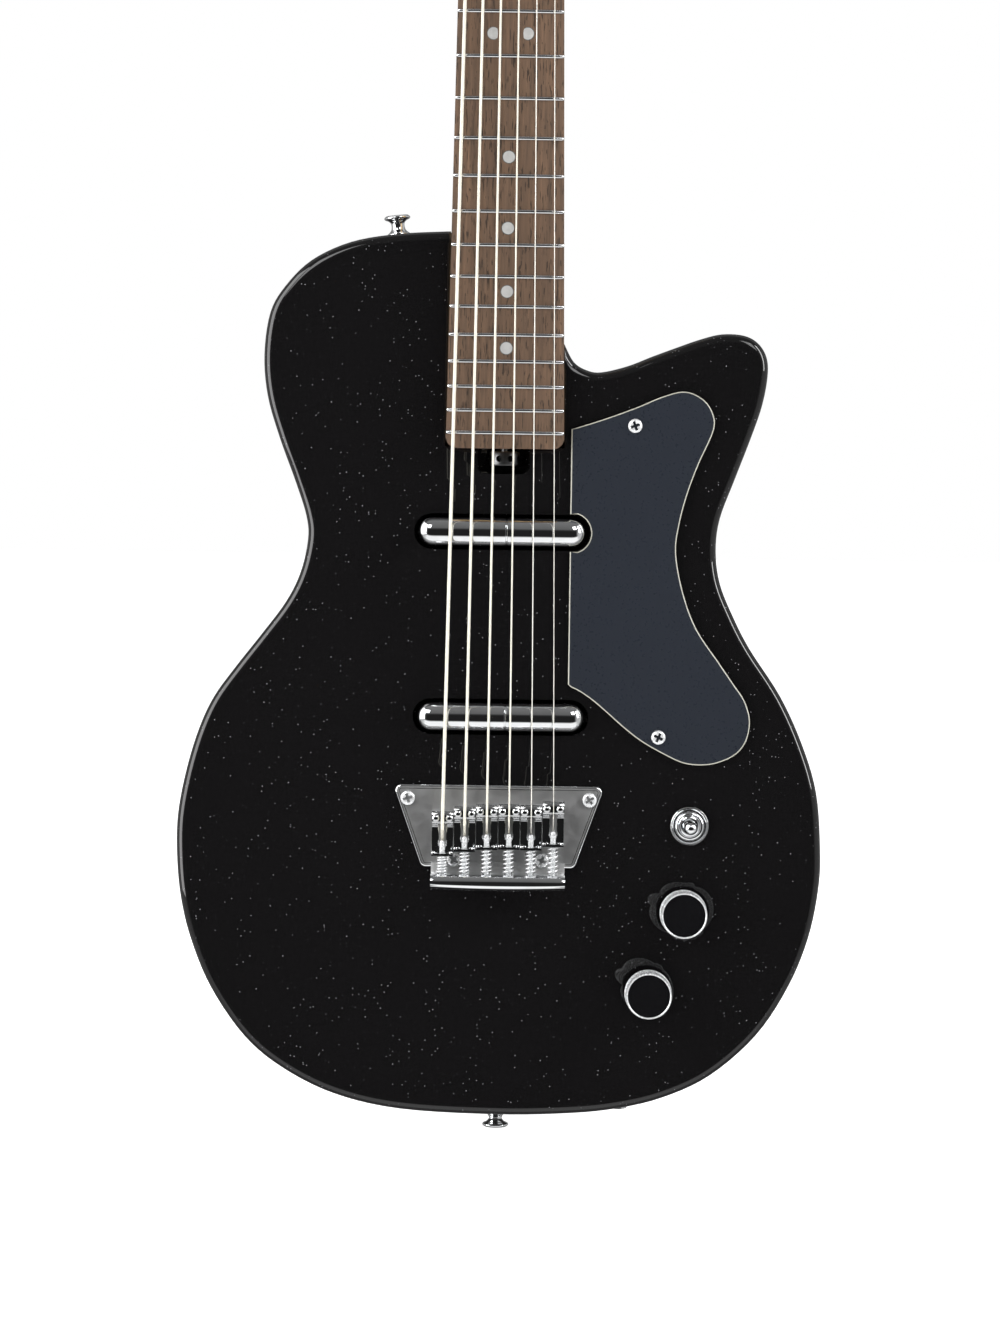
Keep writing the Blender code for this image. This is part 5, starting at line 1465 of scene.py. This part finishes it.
class GUITAR_OT_fittings(bpy.types.Operator):
    """Model the output jack and the strap buttons"""
    bl_idname = "guitar.fittings"
    bl_label = "Fittings"

    def execute(self, context):
        seat = jack_seat()
        sleeve = turned("jack_sleeve", [(3.3, -20), (4.8, -20), (4.8, 0.3), (7.8, 0.3), (7.8, 0.8),
                                        (7.4, 1.1), (4.6, 1.1), (4.6, 4.0), (4.3, 4.2), (3.6, 4.2),
                                        (3.3, 3.9)], steps=40)
        nut = turned("jack_nut", [(0, 1.05), (6.9, 1.05), (6.9, 2.8), (6.3, 3.2), (0, 3.2)], steps=6)
        combine(nut, rod("bore", (0, 0, 0), (0, 0, 5), 4.65, 40))
        jack = joined("jack_sleeve", nut, sleeve)
        apply_place(jack, seat)
        complete(jack, [look("chrome")], "guitar", ("output_jack",))

        outline = body_outline()
        above = [k for k, (x, z) in enumerate(outline) if z > BODY_LOW + 220]
        nearest = min(above, key=lambda k: abs(outline[k][0] + 56))
        along = Vector(outline[(nearest + 1) % len(outline)]) - Vector(outline[nearest - 1])
        shoulder = frame_at((outline[nearest][0], seat.translation.y / MM, outline[nearest][1]),
                            (along.y, 0, -along.x), (0, 1, 0))
        tail = frame_at((0, seat.translation.y / MM, BODY_LOW), (0, 0, -1), (1, 0, 0))
        for name, place, height in (("shoulder_strap_button", shoulder, 10.5),
                                    ("tail_strap_button", tail, 8.8)):
            profile = [(0, -8.5), (1.7, -8.5), (1.7, 0.3), (6.0, 0.3),
                       *spline([(5.9, 1.0), (4.4, 2.2), (3.5, 3.6), (3.4, height - 4.2),
                                (4.6, height - 2.8), (6.3, height - 2.0), (6.6, height - 1.0),
                                (5.6, height - 0.1)], 4), (2.4, height), (0, height)]
            button = turned(name + "_spool", profile, steps=48)
            cut_cross(button, 2.0, 0.45, height - 1.2, height + 1)
            apply_place(button, place)
            complete(button, [look("chrome")], "guitar", (name,), 40.0)
        return {"FINISHED"}


# ------------------------------------------------------------------ stage

# Brightness of the studio by height above the horizon ahead of the guitar, in degrees: a dark
# room behind the camera, grey above, a white table below, and dim walls behind the guitar.
STUDIO_BANDS = (
    (-180, 0.3), (-125, 0.2), (-92, 0.26), (-86, 0.36), (-80, 1.1), (-44, 1.1), (-38, 0.7),
    (-33, 0.05), (-28, 0.016), (12, 0.016), (20, 0.04), (28, 0.13), (60, 0.17), (98, 0.2),
    (105, 0.55), (122, 0.6), (130, 0.2), (180, 0.3),
)
SIDE_WALLS = 0.55  # brightness of the studio's side walls
CAMERA_SHIFT = 0.12
SENSOR = 36.0  # millimetres
VIEW_CENTRE = (-0.917, -41.45, 238.8)  # middle of the frame, on the plane of the strings


def studio_world(bands):
    """A white backdrop; mirrors see the studio's bands and its side walls."""
    world = bpy.data.worlds.new("studio")
    bpy.context.scene.world = world
    world.use_nodes = True
    tree = world.node_tree
    tree.nodes.clear()

    def grow(kind, **attributes):
        node = tree.nodes.new("ShaderNode" + kind)
        for name, value in attributes.items():
            setattr(node, name, value)
        return node

    coordinates, split = grow("TexCoord"), grow("SeparateXYZ")
    tree.links.new(coordinates.outputs["Generated"], split.inputs[0])
    ahead = grow("Math", operation="MULTIPLY")
    ahead.inputs[1].default_value = -1.0
    tree.links.new(split.outputs["Y"], ahead.inputs[0])
    height = grow("Math", operation="ARCTAN2")
    tree.links.new(split.outputs["Z"], height.inputs[0])
    tree.links.new(ahead.outputs[0], height.inputs[1])
    share = grow("MapRange")
    share.inputs["From Min"].default_value = -math.pi
    share.inputs["From Max"].default_value = math.pi
    tree.links.new(height.outputs[0], share.inputs["Value"])
    ramp = grow("ValToRGB")
    elements = ramp.color_ramp.elements
    while len(elements) < len(bands):
        elements.new(0.5)
    for element, (degrees, value) in zip(elements, bands):
        element.position = (degrees + 180) / 360
        element.color = (value, value, value, 1.0)
    tree.links.new(share.outputs["Result"], ramp.inputs["Fac"])

    sideways = grow("Math", operation="ABSOLUTE")
    tree.links.new(split.outputs["X"], sideways.inputs[0])
    beside = grow("MapRange", interpolation_type="SMOOTHSTEP")
    beside.inputs["From Min"].default_value = 0.6
    beside.inputs["From Max"].default_value = 0.9
    tree.links.new(sideways.outputs[0], beside.inputs["Value"])
    walls = grow("Mix", data_type="RGBA")
    walls.inputs[7].default_value = (SIDE_WALLS, SIDE_WALLS, SIDE_WALLS, 1.0)
    tree.links.new(beside.outputs["Result"], walls.inputs["Factor"])
    tree.links.new(ramp.outputs["Color"], walls.inputs[6])

    studio, seen = grow("Background"), grow("Background")
    seen.inputs["Color"].default_value = (1, 1, 1, 1)
    tree.links.new(walls.outputs[2], studio.inputs["Color"])
    rays, mix, out = grow("LightPath"), grow("MixShader"), grow("OutputWorld")
    tree.links.new(rays.outputs["Is Camera Ray"], mix.inputs["Fac"])
    tree.links.new(studio.outputs["Background"], mix.inputs[1])
    tree.links.new(seen.outputs["Background"], mix.inputs[2])
    tree.links.new(mix.outputs["Shader"], out.inputs["Surface"])


def soft_light(name, spot, aim, width, height, power):
    """A rectangular area light at a place in metres, facing another."""
    bpy.ops.object.light_add(type="AREA", location=spot)
    light = begin(name)
    light.data.shape = "RECTANGLE"
    light.data.size, light.data.size_y = width, height
    light.data.energy = power
    light.rotation_euler = (Vector(aim) - Vector(spot)).to_track_quat("-Z", "Y").to_euler()


class GUITAR_OT_stage(bpy.types.Operator):
    """Set the floor, the studio light and the camera"""
    bl_idname = "guitar.stage"
    bl_label = "Stage"

    def execute(self, context):
        stage = context.scene.guitar_stage
        pick()
        bpy.ops.mesh.primitive_plane_add(size=30.0, location=(0, 6.0, 0))
        floor = begin("studio_floor")
        paper = Look("studio_paper", (0.9, 0.9, 0.9), 0.9, Emission_Color=(1, 1, 1, 1),
                     Emission_Strength=1.0)
        paper.into("Roughness", paper.span(paper.noise(3.0), 0.3, 0.7, 0.85, 0.95))
        floor.data.materials.append(paper.material)
        floor.visible_glossy = False

        studio_world(STUDIO_BANDS)
        aim = (0.0, FRONT * MM, 0.25)
        soft_light("upper_left_light", (-0.9, -1.45, 1.6), aim, 0.75, 0.85, stage.key_power)
        soft_light("upper_right_light", (0.9, -1.45, 1.6), aim, 0.75, 0.85, stage.key_power)
        soft_light("left_wall_light", (-1.7, -0.6, 0.75), aim, 1.2, 2.3, 2.7 * stage.fill_power)
        soft_light("right_strip", (1.8, -0.7, 1.15), aim, 0.4, 1.6, 1.6 * stage.fill_power)

        roll = Matrix.Rotation(stage.roll, 4, "Z")
        turn = Matrix.Rotation(math.radians(90), 4, "X") @ roll
        upward = turn.to_3x3() @ Vector((0, 1, 0))
        centre = Vector(VIEW_CENTRE) * MM
        raise_by = CAMERA_SHIFT * stage.frame_height
        bpy.ops.object.camera_add(location=centre + upward * raise_by + Vector((0, -stage.distance, 0)),
                                  rotation=turn.to_euler())
        camera = begin("studio_camera")
        camera.data.sensor_fit = "AUTO"
        camera.data.sensor_width = SENSOR
        camera.data.lens = SENSOR * stage.distance / stage.frame_height
        camera.data.shift_y = -CAMERA_SHIFT
        camera.data.dof.use_dof = False
        context.scene.camera = camera
        context.scene.view_settings.view_transform = "Standard"
        return {"FINISHED"}


# ------------------------------------------------------------------ add-on

OPERATORS = (GUITAR_OT_body, GUITAR_OT_pickguard, GUITAR_OT_neck, GUITAR_OT_fingerboard,
             GUITAR_OT_truss, GUITAR_OT_tuners, GUITAR_OT_bridge, GUITAR_OT_saddles,
             GUITAR_OT_strings, GUITAR_OT_pickups, GUITAR_OT_controls, GUITAR_OT_fittings,
             GUITAR_OT_stage)


class VIEW3D_PT_guitar(bpy.types.Panel):
    """Sidebar with the settings and one button for each piece"""
    bl_label = "Guitar"
    bl_idname = "VIEW3D_PT_guitar"
    bl_space_type = "VIEW_3D"
    bl_region_type = "UI"
    bl_category = "Guitar"

    def draw(self, context):
        scene = context.scene
        for group in (scene.guitar_sizes, scene.guitar_colors, scene.guitar_stage):
            column = self.layout.column(align=True)
            for name in group.__annotations__:
                column.prop(group, name)
        column = self.layout.column(align=True)
        for operator in OPERATORS:
            column.operator(operator.bl_idname)


CLASSES = (GuitarColors, GuitarSizes, GuitarStage, *OPERATORS, VIEW3D_PT_guitar)


def register():
    for kind in CLASSES:
        bpy.utils.register_class(kind)
    bpy.types.Scene.guitar_colors = PointerProperty(type=GuitarColors)
    bpy.types.Scene.guitar_sizes = PointerProperty(type=GuitarSizes)
    bpy.types.Scene.guitar_stage = PointerProperty(type=GuitarStage)


def unregister():
    del bpy.types.Scene.guitar_colors
    del bpy.types.Scene.guitar_sizes
    del bpy.types.Scene.guitar_stage
    for kind in reversed(CLASSES):
        bpy.utils.unregister_class(kind)


def main():
    register()
    for operator in OPERATORS:
        group, name = operator.bl_idname.split(".")
        getattr(getattr(bpy.ops, group), name)()


if __name__ == "__main__":
    main()
